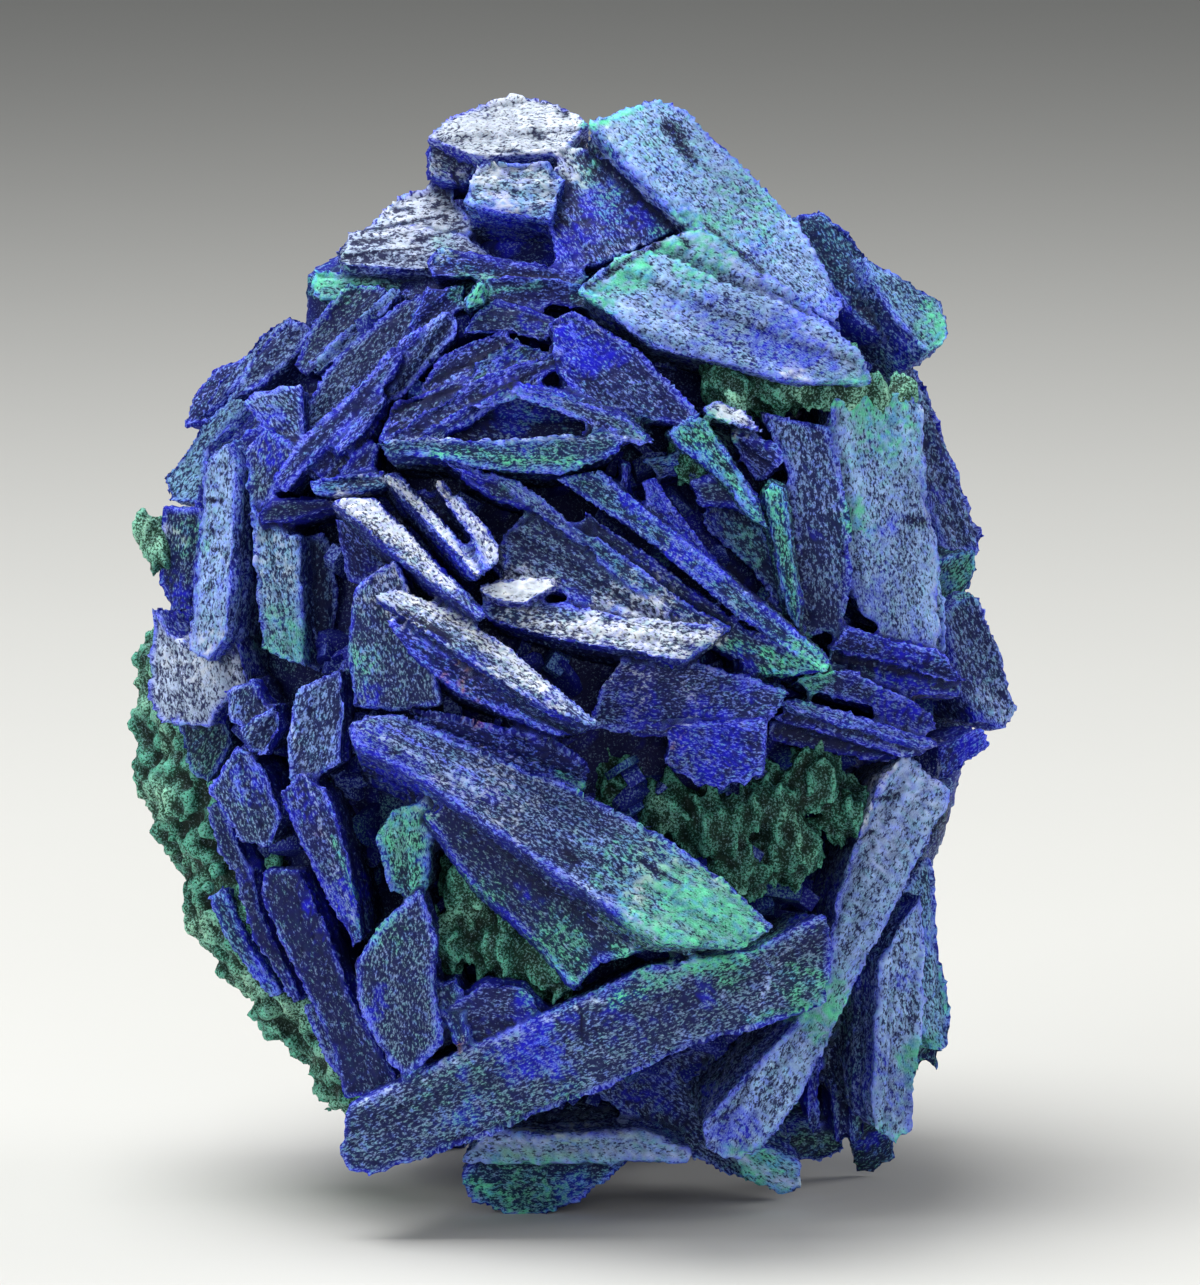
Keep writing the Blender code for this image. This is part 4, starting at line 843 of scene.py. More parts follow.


# %% [markdown]
# ## The palette
#
# Fresh azurite is a very deep blue, and it is the pale skin over it that varies: chalky where the druse is
# thick, lavender where it is thin, teal and mint where it turns to malachite. Each finish is the colour of
# the skin, the colour of the blade's sides, and how much of the blue the skin covers. The sides are partly
# their own deep blue and partly painted shade, and the white and chalk skins carry painted glare on top.
#
# Some colour doesn't follow the crystals. Malachite creeps over several of them, fresh blue shows where the
# skin has worn off, pits and slots get painted shade, a few edges and rims a painted highlight, and the faces
# that turn to the light painted glare. Those are patches and strokes, placed in the front view. They only
# ever reach the faces that look at the viewer.

# %% Choose the colours
# A finish's side colour is partly the blade's own deep blue and partly painted shade, so it is much darker
# than the skin.
Finish = namedtuple("Finish", "skin side cover")
FINISHES = {
    # white and chalk are pale druse with painted glare on top.
    "white": Finish((0.64, 0.70, 0.80), (0.09, 0.11, 0.34), 0.70),
    "chalk": Finish((0.42, 0.50, 0.70), (0.07, 0.10, 0.32), 0.69),
    "pale": Finish((0.27, 0.42, 0.78), (0.04, 0.07, 0.30), 0.75),
    "frost": Finish((0.17, 0.38, 0.60), (0.03, 0.08, 0.24), 0.67),
    "lavender": Finish((0.14, 0.23, 0.54), (0.03, 0.05, 0.30), 0.58),
    "grey": Finish((0.11, 0.19, 0.34), (0.02, 0.04, 0.20), 0.55),
    "teal": Finish((0.04, 0.20, 0.31), (0.015, 0.06, 0.18), 0.54),
    "mint": Finish((0.07, 0.50, 0.30), (0.02, 0.16, 0.09), 0.62),
    "moss": Finish((0.03, 0.20, 0.10), (0.02, 0.12, 0.06), 0.58),
    "violet": Finish((0.08, 0.12, 0.52), (0.02, 0.025, 0.28), 0.52),
    "blue": Finish((0.02, 0.04, 0.64), (0.01, 0.015, 0.26), 0.51),
    "dark": Finish((0.05, 0.09, 0.22), (0.01, 0.015, 0.12), 0.44),
    "slate": Finish((0.065, 0.14, 0.22), (0.012, 0.035, 0.12), 0.48),
}
# The painted highlight along rims and ledges, its reach and its share on ledges, the painted shade of ledges
# on the palest finishes, the fresh blue of worn spots, and the painted shade of depths, slots and creases.
RIM_COLOUR = np.array((0.09, 0.10, 1.0))
RIM_REACH_MM = 0.36
LEDGE_SHARE = 0.40
LEDGE_SHADE = np.array((0.06, 0.06, 0.22))
FRESH_BLUE = np.array((0.016, 0.018, 0.72))
SHADE_BLUE = np.array((0.003, 0.004, 0.16))

# %% Place the patches
# A patch is the pixel at its middle, its radius in pixels, and its strength.
GREEN_PATCHES = (
    ((690, 250), 42, 0.75), ((632, 272), 30, 0.9), ((592, 290), 24, 0.8), ((650, 130), 70, 0.35),
    ((745, 200), 60, 0.5), ((585, 165), 22, 0.7), ((612, 205), 22, 0.5), ((868, 398), 44, 0.8),
    ((853, 520), 22, 0.7), ((800, 665), 34, 0.9), ((285, 640), 30, 0.8), ((640, 440), 30, 0.5),
    ((530, 445), 60, 0.45), ((470, 290), 22, 0.9), ((330, 285), 30, 0.8), ((640, 860), 50, 0.55),
    ((705, 905), 66, 1.3), ((650, 930), 44, 1.2), ((800, 985), 34, 0.7), ((825, 1010), 26, 0.8),
    ((400, 830), 34, 0.9), ((385, 930), 26, 0.6), ((460, 1090), 60, 0.35), ((928, 1060), 26, 0.9),
    ((875, 1160), 30, 0.8), ((765, 1175), 34, 0.9), ((885, 420), 50, 0.6), ((520, 1200), 50, 0.7),
    ((935, 330), 30, 0.6), ((745, 540), 30, 0.6), ((365, 660), 24, 0.5), ((965, 575), 26, 0.8),
    ((185, 530), 24, 0.6), ((440, 240), 20, 0.7), ((712, 430), 26, 0.8), ((470, 900), 40, 0.7),
    ((560, 960), 44, 0.8), ((560, 1150), 60, 0.5), ((655, 1148), 36, 0.4),
)
BLUE_PATCHES = (
    ((600, 205), 26, 0.8), ((640, 215), 30, 0.6), ((560, 235), 30, 1.0), ((500, 222), 30, 1.0),
    ((790, 340), 44, 0.8), ((830, 310), 30, 0.7), ((720, 330), 30, 0.6), ((590, 345), 34, 0.9),
    ((520, 405), 46, 1.0), ((650, 490), 30, 0.9), ((700, 545), 40, 0.9), ((460, 560), 30, 0.7),
    ((870, 600), 30, 0.5), ((900, 690), 44, 0.7), ((720, 740), 50, 0.8), ((640, 700), 40, 0.6),
    ((400, 800), 34, 0.8), ((300, 800), 30, 0.5), ((340, 900), 34, 0.7), ((530, 1040), 44, 1.0),
    ((800, 890), 30, 1.0), ((620, 1000), 40, 0.4), ((740, 1130), 30, 0.7), ((650, 1110), 40, 0.6),
    ((250, 780), 26, 0.6), ((270, 430), 30, 0.7), ((960, 470), 40, 0.7), ((975, 745), 26, 0.9),
    ((180, 600), 30, 0.6), ((900, 1090), 26, 0.5), ((575, 1190), 26, 0.8), ((360, 740), 26, 0.8),
)
# Painted glare: pale patches that only go on faces turned to the light.
PALE_PATCHES = (
    ((505, 128), 80, 0.9), ((650, 635), 70, 0.9), ((400, 590), 40, 0.9), ((520, 660), 60, 0.7),
    ((380, 520), 44, 0.8), ((525, 592), 30, 1.0), ((420, 212), 50, 0.8), ((210, 660), 44, 0.7),
    ((268, 560), 40, 0.5), ((480, 800), 70, 0.4), ((600, 330), 12, 0.8), ((905, 800), 56, 0.9),
    ((152, 530), 24, 1.0), ((790, 384), 20, 1.0), ((740, 412), 26, 0.8), ((880, 450), 50, 0.35),
    ((420, 1140), 60, 0.25), ((930, 950), 30, 0.4), ((950, 440), 60, 0.2), ((965, 530), 36, 0.2),
    ((690, 905), 60, 0.5), ((770, 1178), 44, 0.5), ((540, 1190), 50, 0.5), ((570, 1146), 70, 0.5),
    ((890, 500), 80, 0.3), ((420, 830), 30, 0.3),
)
RUST_PATCHES = (
    ((460, 675), 18, 0.8), ((480, 720), 22, 0.6), ((665, 755), 22, 0.7), ((682, 420), 12, 0.9),
    ((455, 1052), 14, 0.8), ((315, 835), 12, 0.6),
)

# %% Place the strokes
# A stroke is the two pixels that it runs between, and half its width. The dark ones are painted shade in pits
# and slots.
DARK_STROKES = (
    ((209, 484), (216, 487), 1.8), ((206, 501), (222, 499), 2.2), ((207, 528), (214, 533), 2.6),
    ((211, 549), (225, 553), 1.9), ((204, 590), (212, 586), 2.0), ((668, 126), (680, 136), 7.0),
    ((678, 140), (692, 158), 6.0), ((566, 852), (576, 860), 5.0), ((579, 1004), (583, 1040), 2.4),
    ((452, 168), (458, 186), 3.0), ((392, 206), (410, 208), 3.0), ((362, 229), (446, 214), 1.8),
    ((352, 241), (392, 237), 1.6), ((410, 240), (462, 226), 1.9), ((344, 254), (420, 246), 1.7),
    ((535, 130), (541, 133), 4.0), ((560, 108), (566, 112), 4.0), ((500, 150), (520, 152), 3.0),
    ((905, 520), (925, 522), 3.0), ((720, 560), (760, 600), 3.5), ((400, 610), (450, 640), 3.5),
    ((640, 860), (680, 884), 3.0), ((588, 284), (690, 223), 3.0), ((704, 222), (764, 272), 2.5),
    ((392, 410), (458, 386), 2.6), ((423, 384), (510, 342), 2.6), ((474, 400), (560, 360), 2.6),
    ((582, 142), (690, 246), 3.5), ((874, 800), (896, 796), 2.4), ((841, 846), (874, 832), 2.4),
    ((640, 246), (648, 250), 2.6),
)
# Ridges and streaks of malachite, then painted highlights on bright edges and vivid blue rims, and painted
# glare on the whitest faces.
MINT_STROKES = (
    ((747, 1019), (813, 1015), 5.0), ((817, 1016), (847, 1002), 6.0), ((613, 1000), (719, 958), 6.0),
    ((596, 292), (690, 232), 7.0), ((690, 232), (722, 240), 7.0), ((315, 280), (372, 282), 7.0),
    ((480, 292), (540, 284), 5.0), ((586, 124), (640, 106), 5.0), ((764, 486), (776, 520), 5.0),
    ((430, 452), (580, 462), 4.0), ((800, 400), (905, 402), 6.0), ((930, 300), (945, 345), 8.0),
    ((560, 772), (588, 790), 5.0), ((944, 900), (948, 1010), 4.0), ((905, 1140), (880, 1168), 7.0),
    ((468, 1180), (520, 1214), 7.0), ((330, 840), (360, 900), 4.0), ((700, 640), (826, 668), 7.0),
    ((676, 896), (742, 926), 26.0), ((640, 925), (690, 940), 9.0), ((850, 400), (900, 402), 10.0),
)
# Painted highlights on edges and a few faces that catch the light.
BRIGHT_STROKES = (
    ((564, 874), (655, 935), 4.0), ((592, 1102), (704, 1163), 3.5), ((592, 923), (631, 947), 4.0),
    ((734, 1160), (800, 1185), 6.0), ((470, 1140), (690, 1156), 4.0), ((352, 722), (480, 792), 5.0),
    ((580, 136), (690, 238), 3.0), ((700, 236), (860, 372), 3.0), ((384, 440), (640, 436), 3.0),
    ((985, 690), (1012, 720), 9.0), ((384, 476), (480, 560), 3.0), ((382, 590), (600, 722), 4.0),
    ((345, 1110), (600, 1000), 3.0), ((880, 770), (700, 1120), 2.5), ((922, 404), (940, 640), 3.0),
    ((290, 720), (350, 920), 3.0), ((915, 775), (878, 856), 24.0), ((610, 250), (700, 234), 4.0),
    ((620, 300), (700, 330), 10.0),
)
# Painted highlights: vivid blue along rims.
RIM_STROKES = (
    ((386, 428), (462, 392), 3.0), ((462, 392), (560, 350), 3.0), ((392, 398), (458, 374), 3.0),
    ((423, 372), (510, 330), 3.0), ((461, 384), (521, 343), 3.0), ((412, 333), (300, 440), 3.0),
    ((636, 348), (702, 411), 4.0), ((500, 388), (600, 425), 3.0), ((600, 425), (660, 450), 3.0),
    ((310, 360), (410, 290), 3.0), ((760, 276), (838, 366), 4.0), ((380, 720), (480, 780), 3.0),
)
# Painted glare on the whitest faces.
WHITE_STROKES = (
    ((344, 502), (376, 506), 11.0), ((376, 506), (412, 546), 9.0), ((412, 546), (450, 584), 6.0),
    ((388, 474), (432, 515), 6.0), ((432, 515), (476, 572), 5.5), ((438, 484), (470, 520), 6.0),
    ((470, 520), (494, 556), 8.0), ((408, 596), (450, 618), 8.5), ((450, 618), (500, 652), 7.0),
    ((500, 652), (545, 690), 6.0), ((632, 636), (716, 638), 9.0), ((560, 628), (622, 632), 9.0),
    ((500, 590), (552, 584), 8.0),
)
RUST_GRAIN_MM = 0.5
GREEN = np.array((0.07, 0.50, 0.26))
PALE = np.array((0.62, 0.65, 0.74))
BRIGHT = np.array((0.38, 0.48, 0.86))
RUST = np.array((0.34, 0.10, 0.03))
print("finishes:", len(FINISHES))

# %% [markdown]
# ## Painting the grains
#
# The colour goes on in layers, as it does on a wall: first the finish, then worn spots, then painted highlight
# and shade along the rims and ledges, then the patches and strokes, among them painted glare, highlight and
# shade. A soft edge looks airbrushed, so every share is broken up by luck, grain by grain. Last comes the
# painted shade of the depths between the blades.
#
# Three values are kept on each vertex: the colour of the skin, how much of the blue it covers, and how fresh
# that blue is. A fourth is a place along, across and into the crystal, so that the grains lie in the
# crystal's own direction.

# %% Measure shares
PATCH_EDGE_MM = 1.1
PATCH_RAGGED = 0.8
OPEN_HALF_MM = (18.6, 23.8, 17.6)
OPEN_RANGE = (0.80, 0.97)


def blend(first, second, share):
    """Mixes two arrays of colours by a share for each row."""
    return first + (second - first) * share[:, None]


def blend_pair(first, second, share):
    """Mixes two single colours."""
    return np.array(first) * (1.0 - share) + np.array(second) * share


def rise(values, least, most):
    """0 at the least value, 1 at the most, and straight between them."""
    return np.clip((values - least) / (most - least), 0.0, 1.0)


def speckled(share, luck):
    """Breaks a soft share up into grains that have it and grains that don't."""
    return np.clip(share * 0.65 + (share - luck) * 1.2, 0.0, 1.0) * (share > 0.0)


def patch_share(patches, across, down, ragged):
    """How strongly a set of patches covers each point."""
    share = np.zeros(len(across))
    for (x, y), radius, strength in patches:
        distance = np.hypot(across - x, down - y) / radius + PATCH_RAGGED * ragged
        share = np.maximum(share, strength * np.clip(1.6 - 1.2 * distance, 0.0, 1.0))
    return share


def stroke_share(strokes, across, down):
    """How strongly a set of strokes covers each point."""
    share = np.zeros(len(across))
    for (x0, y0), (x1, y1), half_width in strokes:
        length = math.hypot(x1 - x0, y1 - y0)
        along = np.clip(((across - x0) * (x1 - x0) + (down - y0) * (y1 - y0)) / length ** 2, 0.0, 1.0)
        distance = np.hypot(across - x0 - along * (x1 - x0), down - y0 - along * (y1 - y0))
        share = np.maximum(share, np.clip(1.5 - distance / half_width, 0.0, 1.0))
    return share


def openness(points):
    """0 deep between the blades, 1 at their outer ends."""
    return rise(core_ratio(points, OPEN_HALF_MM), *OPEN_RANGE)


# %% Lay the finish of each crystal
BARE_SHADE = 0.45
BARE_COVER = 0.42
BARE_FRESH = 0.10
FRONT_FRESH = 0.06
GREEN_FRESH = 0.15
SIDE_FRESH = 0.32
SIDE_SKIN = 0.14
SIDE_LIFT = 1.25
SIDE_COVER = 0.82
SIDE_FADE_MM = 2.2
PALE_FINISHES = ("white", "chalk")
GREEN_FINISHES = ("mint", "moss")


def lay_finishes(numbers, fronts, blades, deep, mottle):
    """The colour, cover and freshness that the finishes give, and 1 where a finish is one of the palest."""
    count = len(numbers)
    colour = np.tile(np.array(FINISHES["slate"].skin) * BARE_SHADE, (count, 1))
    cover = np.full(count, BARE_COVER)
    # On the sides the fresh blue is mottled at random, and it fades as painted shade deeper into the ball.
    worn = np.clip(1.0 + 1.6 * mottle, 0.1, 1.8) * np.clip(1.2 - deep / SIDE_FADE_MM, 0.0, 1.0)
    fresh = np.where(fronts, FRONT_FRESH, np.where(numbers < 0, BARE_FRESH, SIDE_FRESH * worn))
    pale = np.zeros(count)
    for number, blade in enumerate(blades):
        mine = numbers == number
        finish = FINISHES[blade.finish]
        front = (mine & fronts)[:, None]
        side = (mine & ~fronts)[:, None]
        colour = np.where(front, np.array(finish.skin), colour)
        colour = np.where(side, blend_pair(finish.side, finish.skin, SIDE_SKIN) * SIDE_LIFT, colour)
        cover = np.where(mine, np.where(fronts, finish.cover, finish.cover * SIDE_COVER), cover)
        pale = np.where(mine & fronts, float(blade.finish in PALE_FINISHES), pale)
        fresh = np.where(mine, fresh * (GREEN_FRESH if blade.finish in GREEN_FINISHES else 1.0), fresh)
    return colour, cover, fresh, pale


# %% Lay the rims and ledges
def lay_rims(coat, rim, ledge, pale, ragged, mottle):
    """Painted highlight of vivid blue along the rims and ledges. On the palest finishes the ledges get painted
    shade instead.
    """
    colour, cover, fresh = coat
    rim_light = np.clip(1.0 - rim / RIM_REACH_MM, 0.0, 1.0) * np.clip(0.75 + ragged, 0.0, 1.0)
    rim_light *= 1.0 - 0.5 * pale
    colour = blend(colour, RIM_COLOUR, 0.95 * rim_light)
    cover = cover + 0.26 * rim_light
    fresh = np.maximum(fresh, rim_light)
    ledge_light = ledge * np.clip(0.8 + 1.5 * mottle, 0.0, 1.0)
    colour = blend(colour, RIM_COLOUR, LEDGE_SHARE * ledge_light * (1.0 - pale))
    colour = blend(colour, LEDGE_SHADE, 1.2 * LEDGE_SHARE * ledge_light * pale)
    cover = cover + 0.2 * LEDGE_SHARE * ledge_light * (1.0 - 2.0 * pale)
    return colour, cover, fresh


# %% Lay the patches and strokes
# The pale patches are painted glare, laid where faces turn to the light from above the viewer's left: this
# way, and this squarely.
GLARE = np.array(along_axes(-0.45, 0.75, 0.50)) / MM
GLARE_FACING = (0.30, 0.75)
# Each layer's places, its colour and its strength.
STROKE_LAYERS = (
    (RIM_STROKES, RIM_COLOUR, 0.9), (MINT_STROKES, GREEN * 1.3, 0.8), (BRIGHT_STROKES, BRIGHT, 0.6),
    (WHITE_STROKES, PALE * 1.25, 1.0),
)


def lay_worn_spots(coat, spots, mottle, luck):
    """Blue spots where the skin has worn off, some listed and some by chance."""
    colour, cover, fresh = coat
    blue = speckled(np.maximum(spots, np.clip(mottle * 2.2 - 0.6, 0.0, 0.6)), luck)
    return blend(colour, FRESH_BLUE, 0.8 * blue), cover + 0.06 * blue, np.maximum(fresh, 0.9 * blue)


def lay_patches(coat, points, normals, place, facing, luck):
    """Green and rusty patches, pale patches of painted glare, and strokes of malachite, painted highlight and
    painted glare.
    """
    colour, cover, fresh = coat
    across, down, ragged, mottle = place
    glare = rise(normals @ GLARE, *GLARE_FACING)
    specks = np.clip(noise_at(points, RUST_GRAIN_MM, 5.0) * 4.0, 0.0, 1.0)
    for patches, tint, where in (
        (GREEN_PATCHES, GREEN, 1.0), (PALE_PATCHES, PALE, glare), (RUST_PATCHES, RUST, specks)
    ):
        share = speckled(patch_share(patches, across, down, ragged) * facing * where, luck)
        fresh = fresh * (1.0 - 0.7 * share)
        colour = blend(colour, tint, share * 0.92)
        cover = cover + 0.16 * share
    wobble = across + 5.0 * ragged, down + 5.0 * mottle
    for strokes, tint, strength in STROKE_LAYERS:
        share = speckled(strength * stroke_share(strokes, *wobble) * facing, luck)
        colour = blend(colour, tint, share)
        cover = cover + 0.14 * share
    return colour, cover, fresh


# %% Paint by vertex
FRONT_FADE_MM = (-2.0, 3.0)
MOTTLE_MM = 1.6
GRAIN_CONTRAST = 0.16
# Grains of another colour: the tint, the luck from and to which a grain gets it, and its strength.
SPECKS = (
    ((0.03, 0.04, 0.85), 0.30, 0.50, 0.40), ((0.07, 0.36, 0.36), 0.60, 0.76, 0.35),
    ((0.30, 0.34, 0.85), 0.88, 0.98, 0.35),
)
TONE_MM = 4.5
TONE_CHANGE = 0.45


def paint(points, normals, numbers, fronts, blades, marks, dice):
    """The skin's colour, its cover and the freshness of the blue below, for every vertex."""
    rim, ledge, deep = marks
    count = len(points)
    luck = dice.random(count)
    mottle = noise_at(points, MOTTLE_MM, 3.0)
    ragged = noise_at(points, PATCH_EDGE_MM, 7.0)
    across, down, toward = to_view(points * MM)
    facing = rise(toward, *FRONT_FADE_MM) * np.clip(normals @ np.array(TOWARD) * 4.0 + 0.6, 0.0, 1.0)
    *coat, pale = lay_finishes(numbers, fronts, blades, deep, mottle)
    coat = lay_worn_spots(coat, patch_share(BLUE_PATCHES, across, down, ragged) * facing, mottle, luck)
    coat = lay_rims(coat, rim, ledge, pale, ragged, mottle)
    colour, cover, fresh = lay_patches(coat, points, normals, (across, down, ragged, mottle), facing, luck)
    # Painted shade in the pits and slots.
    slot_shade = stroke_share(DARK_STROKES, across, down) * facing
    colour = blend(colour, SHADE_BLUE * 0.3, slot_shade)
    cover = cover - 0.25 * slot_shade
    # Painted shade: the sides darken with depth, and everything darkens toward the middle of the ball between
    # the blades.
    open_share = openness(points)
    shade = np.where(fronts, 1.0, np.clip(1.3 - deep / SIDE_FADE_MM, 0.25, 1.0))
    colour = blend(SHADE_BLUE * np.ones((count, 1)), colour * shade[:, None], 0.25 + 0.75 * open_share)
    fresh = fresh * (0.45 + 0.55 * open_share) * (1.0 - slot_shade)
    for tint, least, most, strength in SPECKS:
        here = (luck > least) & (luck < most)
        colour = blend(colour, np.array(tint), strength * here * open_share * (1.0 - 0.75 * pale))
    tone = 1.0 + TONE_CHANGE * noise_at(points, TONE_MM, 8.0)
    colour *= ((1.0 + dice.normal(0.0, GRAIN_CONTRAST, count)) * tone)[:, None]
    return np.clip(colour, 0.0, 1.0), np.clip(cover, 0.0, 1.0), np.clip(fresh, 0.0, 1.0)


# %% [markdown]
# ## Creases and ridges
#
# Creases get painted shade and ridges a painted highlight, so both have to be found. Smoothing the skin a few
# times gives its surroundings. A vertex that stands out of them is a ridge, and one that lies below them is
# a crease.

# %% Read the creases
BULGE_ROUNDS = 6
CREASE_MM = 0.16
RIDGE_MM = 0.14
GRAIN_STRETCH = 1.9


def bulge(mesh, points, normals):
    """How far each vertex stands out of its surroundings, in millimetres: less than 0 in a crease."""
    ends = np.empty(len(mesh.edges) * 2, dtype=np.int32)
    mesh.edges.foreach_get("vertices", ends)
    first, second = ends.reshape(-1, 2).T
    count = len(points)
    around = np.maximum(np.bincount(ends, minlength=count), 1)
    smooth = points
    for _ in range(BULGE_ROUNDS):
        smooth = np.column_stack([
            (np.bincount(first, column[second], count) + np.bincount(second, column[first], count)) / around
            for column in smooth.T
        ])
    return ((points - smooth) * normals).sum(axis=1)


def shade_creases_light_ridges(colour, cover, fresh, out):
    """Paints shade into the creases and a highlight on what stands out of them."""
    crease = np.clip(-out / CREASE_MM, 0.0, 1.0)
    ridge = np.clip(out / RIDGE_MM - 0.3, 0.0, 1.0)
    colour = blend(colour * (1.0 + 0.35 * ridge)[:, None], SHADE_BLUE * 0.4, 0.85 * crease)
    cover = np.clip(cover - 0.10 * crease + 0.05 * ridge, 0.0, 1.0)
    return np.clip(colour, 0.0, 1.0), cover, fresh * (1.0 - crease)


def grain_places(points, numbers, blades):
    """Each point's place along, across and into its crystal, in millimetres."""
    places = points.copy()
    for number, blade in enumerate(blades):
        mine = numbers == number
        offset = points[mine] - blade.middle
        places[mine] = np.column_stack(
            (offset @ blade.along / GRAIN_STRETCH, offset @ blade.across, offset @ blade.out + 11.0 * number)
        )
    return places


# %% Write the steps that every piece takes
def push_out(mesh, places, normals, push):
    """Moves each vertex along its normal by millimetres, and keeps it above the ground."""
    moved = places + normals * push[:, None] * MM
    moved[:, 2] = np.maximum(moved[:, 2], 0.0)
    mesh.vertices.foreach_set("co", moved.astype(np.float32).ravel())
    return moved


def keep_on_vertices(mesh, colour, cover, fresh, places):
    """Stores the paint where the material can read it."""
    tint = mesh.attributes.new("skin_colour", "FLOAT_COLOR", "POINT")
    tint.data.foreach_set("color", np.column_stack((colour, np.ones(len(colour)))).astype(np.float32).ravel())
    for name, values in (("skin_cover", cover), ("skin_fresh", fresh)):
        share = mesh.attributes.new(name, "FLOAT", "POINT")
        share.data.foreach_set("value", values.astype(np.float32))
    place = mesh.attributes.new("grain_place", "FLOAT_VECTOR", "POINT")
    place.data.foreach_set("vector", places.astype(np.float32).ravel())


def drop_scraps(mesh):
    """Deletes the flat scraps that merging can leave inside: two faces that share all their edges."""
    shape = bmesh.new()
    shape.from_mesh(mesh)
    scraps = [
        face for face in shape.faces
        if len({other for edge in face.edges for other in edge.link_faces}) < 3
    ]
    bmesh.ops.delete(shape, geom=scraps, context="FACES")
    shape.to_mesh(mesh)
    shape.free()


def put_on(piece):
    """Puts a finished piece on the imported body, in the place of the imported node."""
    drop_scraps(piece.data)
    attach(piece, "root")
    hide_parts(NODE)
    print(piece.name, "has", sum(len(face.vertices) - 2 for face in piece.data.polygons), "triangles")
    return piece


# %% Dress one group
# The small crystals come last. They need the places of the bare core up to this height, and the way that it
# faces there.
bare_core = []
CRUMB_TOP_MM = 39.0


def dress(name, blade_list, voxel_mm, seed, extra=None):
    """Makes one finished piece of the rosette from its blades."""
    shape, blades, owners = grow(blade_list, extra)
    piece = fused(name, heap_of_prisms(name, shape), voxel_mm)
    mesh = piece.data
    places = read_points(mesh)
    numbers, fronts = ask_tree(shape, owners, places)
    shape.free()
    dice = np.random.default_rng(seed)
    points = places / MM
    normals = read_normals(mesh)
    push, *marks = relief(points, numbers, fronts, blades, dice)
    colour, cover, fresh = paint(points, normals, numbers, fronts, blades, marks, dice)
    moved = push_out(mesh, places, normals, push)
    painted = shade_creases_light_ridges(colour, cover, fresh, bulge(mesh, moved / MM, normals))
    keep_on_vertices(mesh, *painted, grain_places(points, numbers, blades))
    if extra:
        bare = np.where((numbers == -1) & (moved[:, 2] < CRUMB_TOP_MM * MM))[0]
        bare_core.extend((moved[bare], normals[bare]))
    mesh.shade_smooth()
    mesh.update()
    return put_on(piece)


# %% Make the azurite
def core(shape):
    """Adds the lumpy ball that the blades stand in."""
    right, up = view_place(CORE_PIXEL, CORE_TOWARD_MM)
    ball = bmesh.ops.create_icosphere(shape, subdivisions=4, radius=1.0)["verts"]
    for vertex in ball:
        place = vertex.co.copy()
        swell = 1.0 + CORE_LUMP_HEIGHT * noise.noise(place / CORE_LUMP_SPACING)
        vertex.co = from_axes(
            right + place.x * CORE_HALF_MM[0] * swell,
            up + place.y * CORE_HALF_MM[1] * swell,
            CORE_TOWARD_MM + place.z * CORE_HALF_MM[2] * swell,
        )


azurite_pieces = []
for seed, (name, group) in enumerate(GROUPS.items()):
    blade_list = [
        (crystal.finish, face_corners(crystal), along_axes(*crystal.root)) for crystal in group.values()
    ]
    azurite_pieces.append(dress(name, blade_list, GROUP_VOXEL_MM[name], seed))

BACK_FINISHES = ("lavender", "grey", "violet", "teal", "slate", "frost", "blue", "mint")
painter = random.Random(BACK_SEED + 1)
blade_list = [(painter.choice(BACK_FINISHES), corners, step) for corners, step in back_blades]
azurite_pieces.append(dress("azurite_back", blade_list, BACK_VOXEL_MM, 90, core))

# %% [markdown]
# ## Malachite
#
# On the outside malachite grew as a crust of small rounded buds, and in the deep hollows as thin folds that
# stand side by side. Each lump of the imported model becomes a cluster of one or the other, scattered over a
# ball by the golden angle again, and the same remesh fuses them. A lump is the pixel of its middle, its
# millimetres toward the eye, and its radius in millimetres.

# %% Place the malachite
LEFT_RIM_LUMPS = (
    (184, 668, -1.0, 2.2), (178, 722, -1.6, 2.0), (180, 776, -1.4, 2.1), (202, 820, -1.0, 2.1),
    (226, 862, -0.8, 2.1), (232, 910, -1.2, 2.1), (262, 948, -1.0, 2.2), (296, 984, -0.6, 2.1),
    (330, 1026, 0.0, 2.0), (366, 1058, 0.6, 2.0),
)
LEFT_BED_LUMPS = (
    (244, 700, 1.0, 4.0), (248, 790, 0.6, 4.0), (290, 880, 0.6, 4.4), (336, 960, 0.6, 4.4),
    (400, 1040, 0.6, 4.4),
)
POCKET_LUMPS = (
    (616, 782, 11.4, 1.5), (664, 806, 11.6, 1.4), (712, 826, 11.6, 1.6), (768, 804, 11.0, 1.5),
    (812, 778, 10.4, 1.4), (846, 812, 9.4, 1.3), (790, 850, 10.4, 1.5), (736, 872, 11.4, 1.4),
    (470, 884, 11.6, 1.4), (506, 944, 11.2, 1.7), (556, 966, 11.6, 1.4), (448, 940, 11.4, 1.2),
    (728, 382, 11.2, 1.3), (776, 390, 10.8, 1.2), (836, 376, 8.8, 1.3), (690, 456, 12.4, 0.9),
    (800, 388, 11.4, 0.7), (826, 392, 11.3, 0.6), (850, 391, 11.1, 0.7), (878, 393, 10.8, 0.6),
    (904, 396, 10.2, 0.6), (736, 404, 12.6, 0.6), (152, 534, 2.0, 0.8), (158, 552, 2.4, 0.7),
)
# Where the crust is palest: a pixel, and a radius in pixels. Down the left edge the pale mint is a painted
# highlight where the edge catches the light; the spots at the top right are the crust's own pale mint.
MINT_SPOTS = (
    ((800, 385), 17), ((850, 397), 24), ((735, 405), 14), ((893, 400), 18), ((150, 535), 22),
    ((146, 690), 20), ((152, 800), 20), ((196, 930), 20), ((250, 985), 20), ((290, 1012), 20),
    ((330, 1060), 16),
)

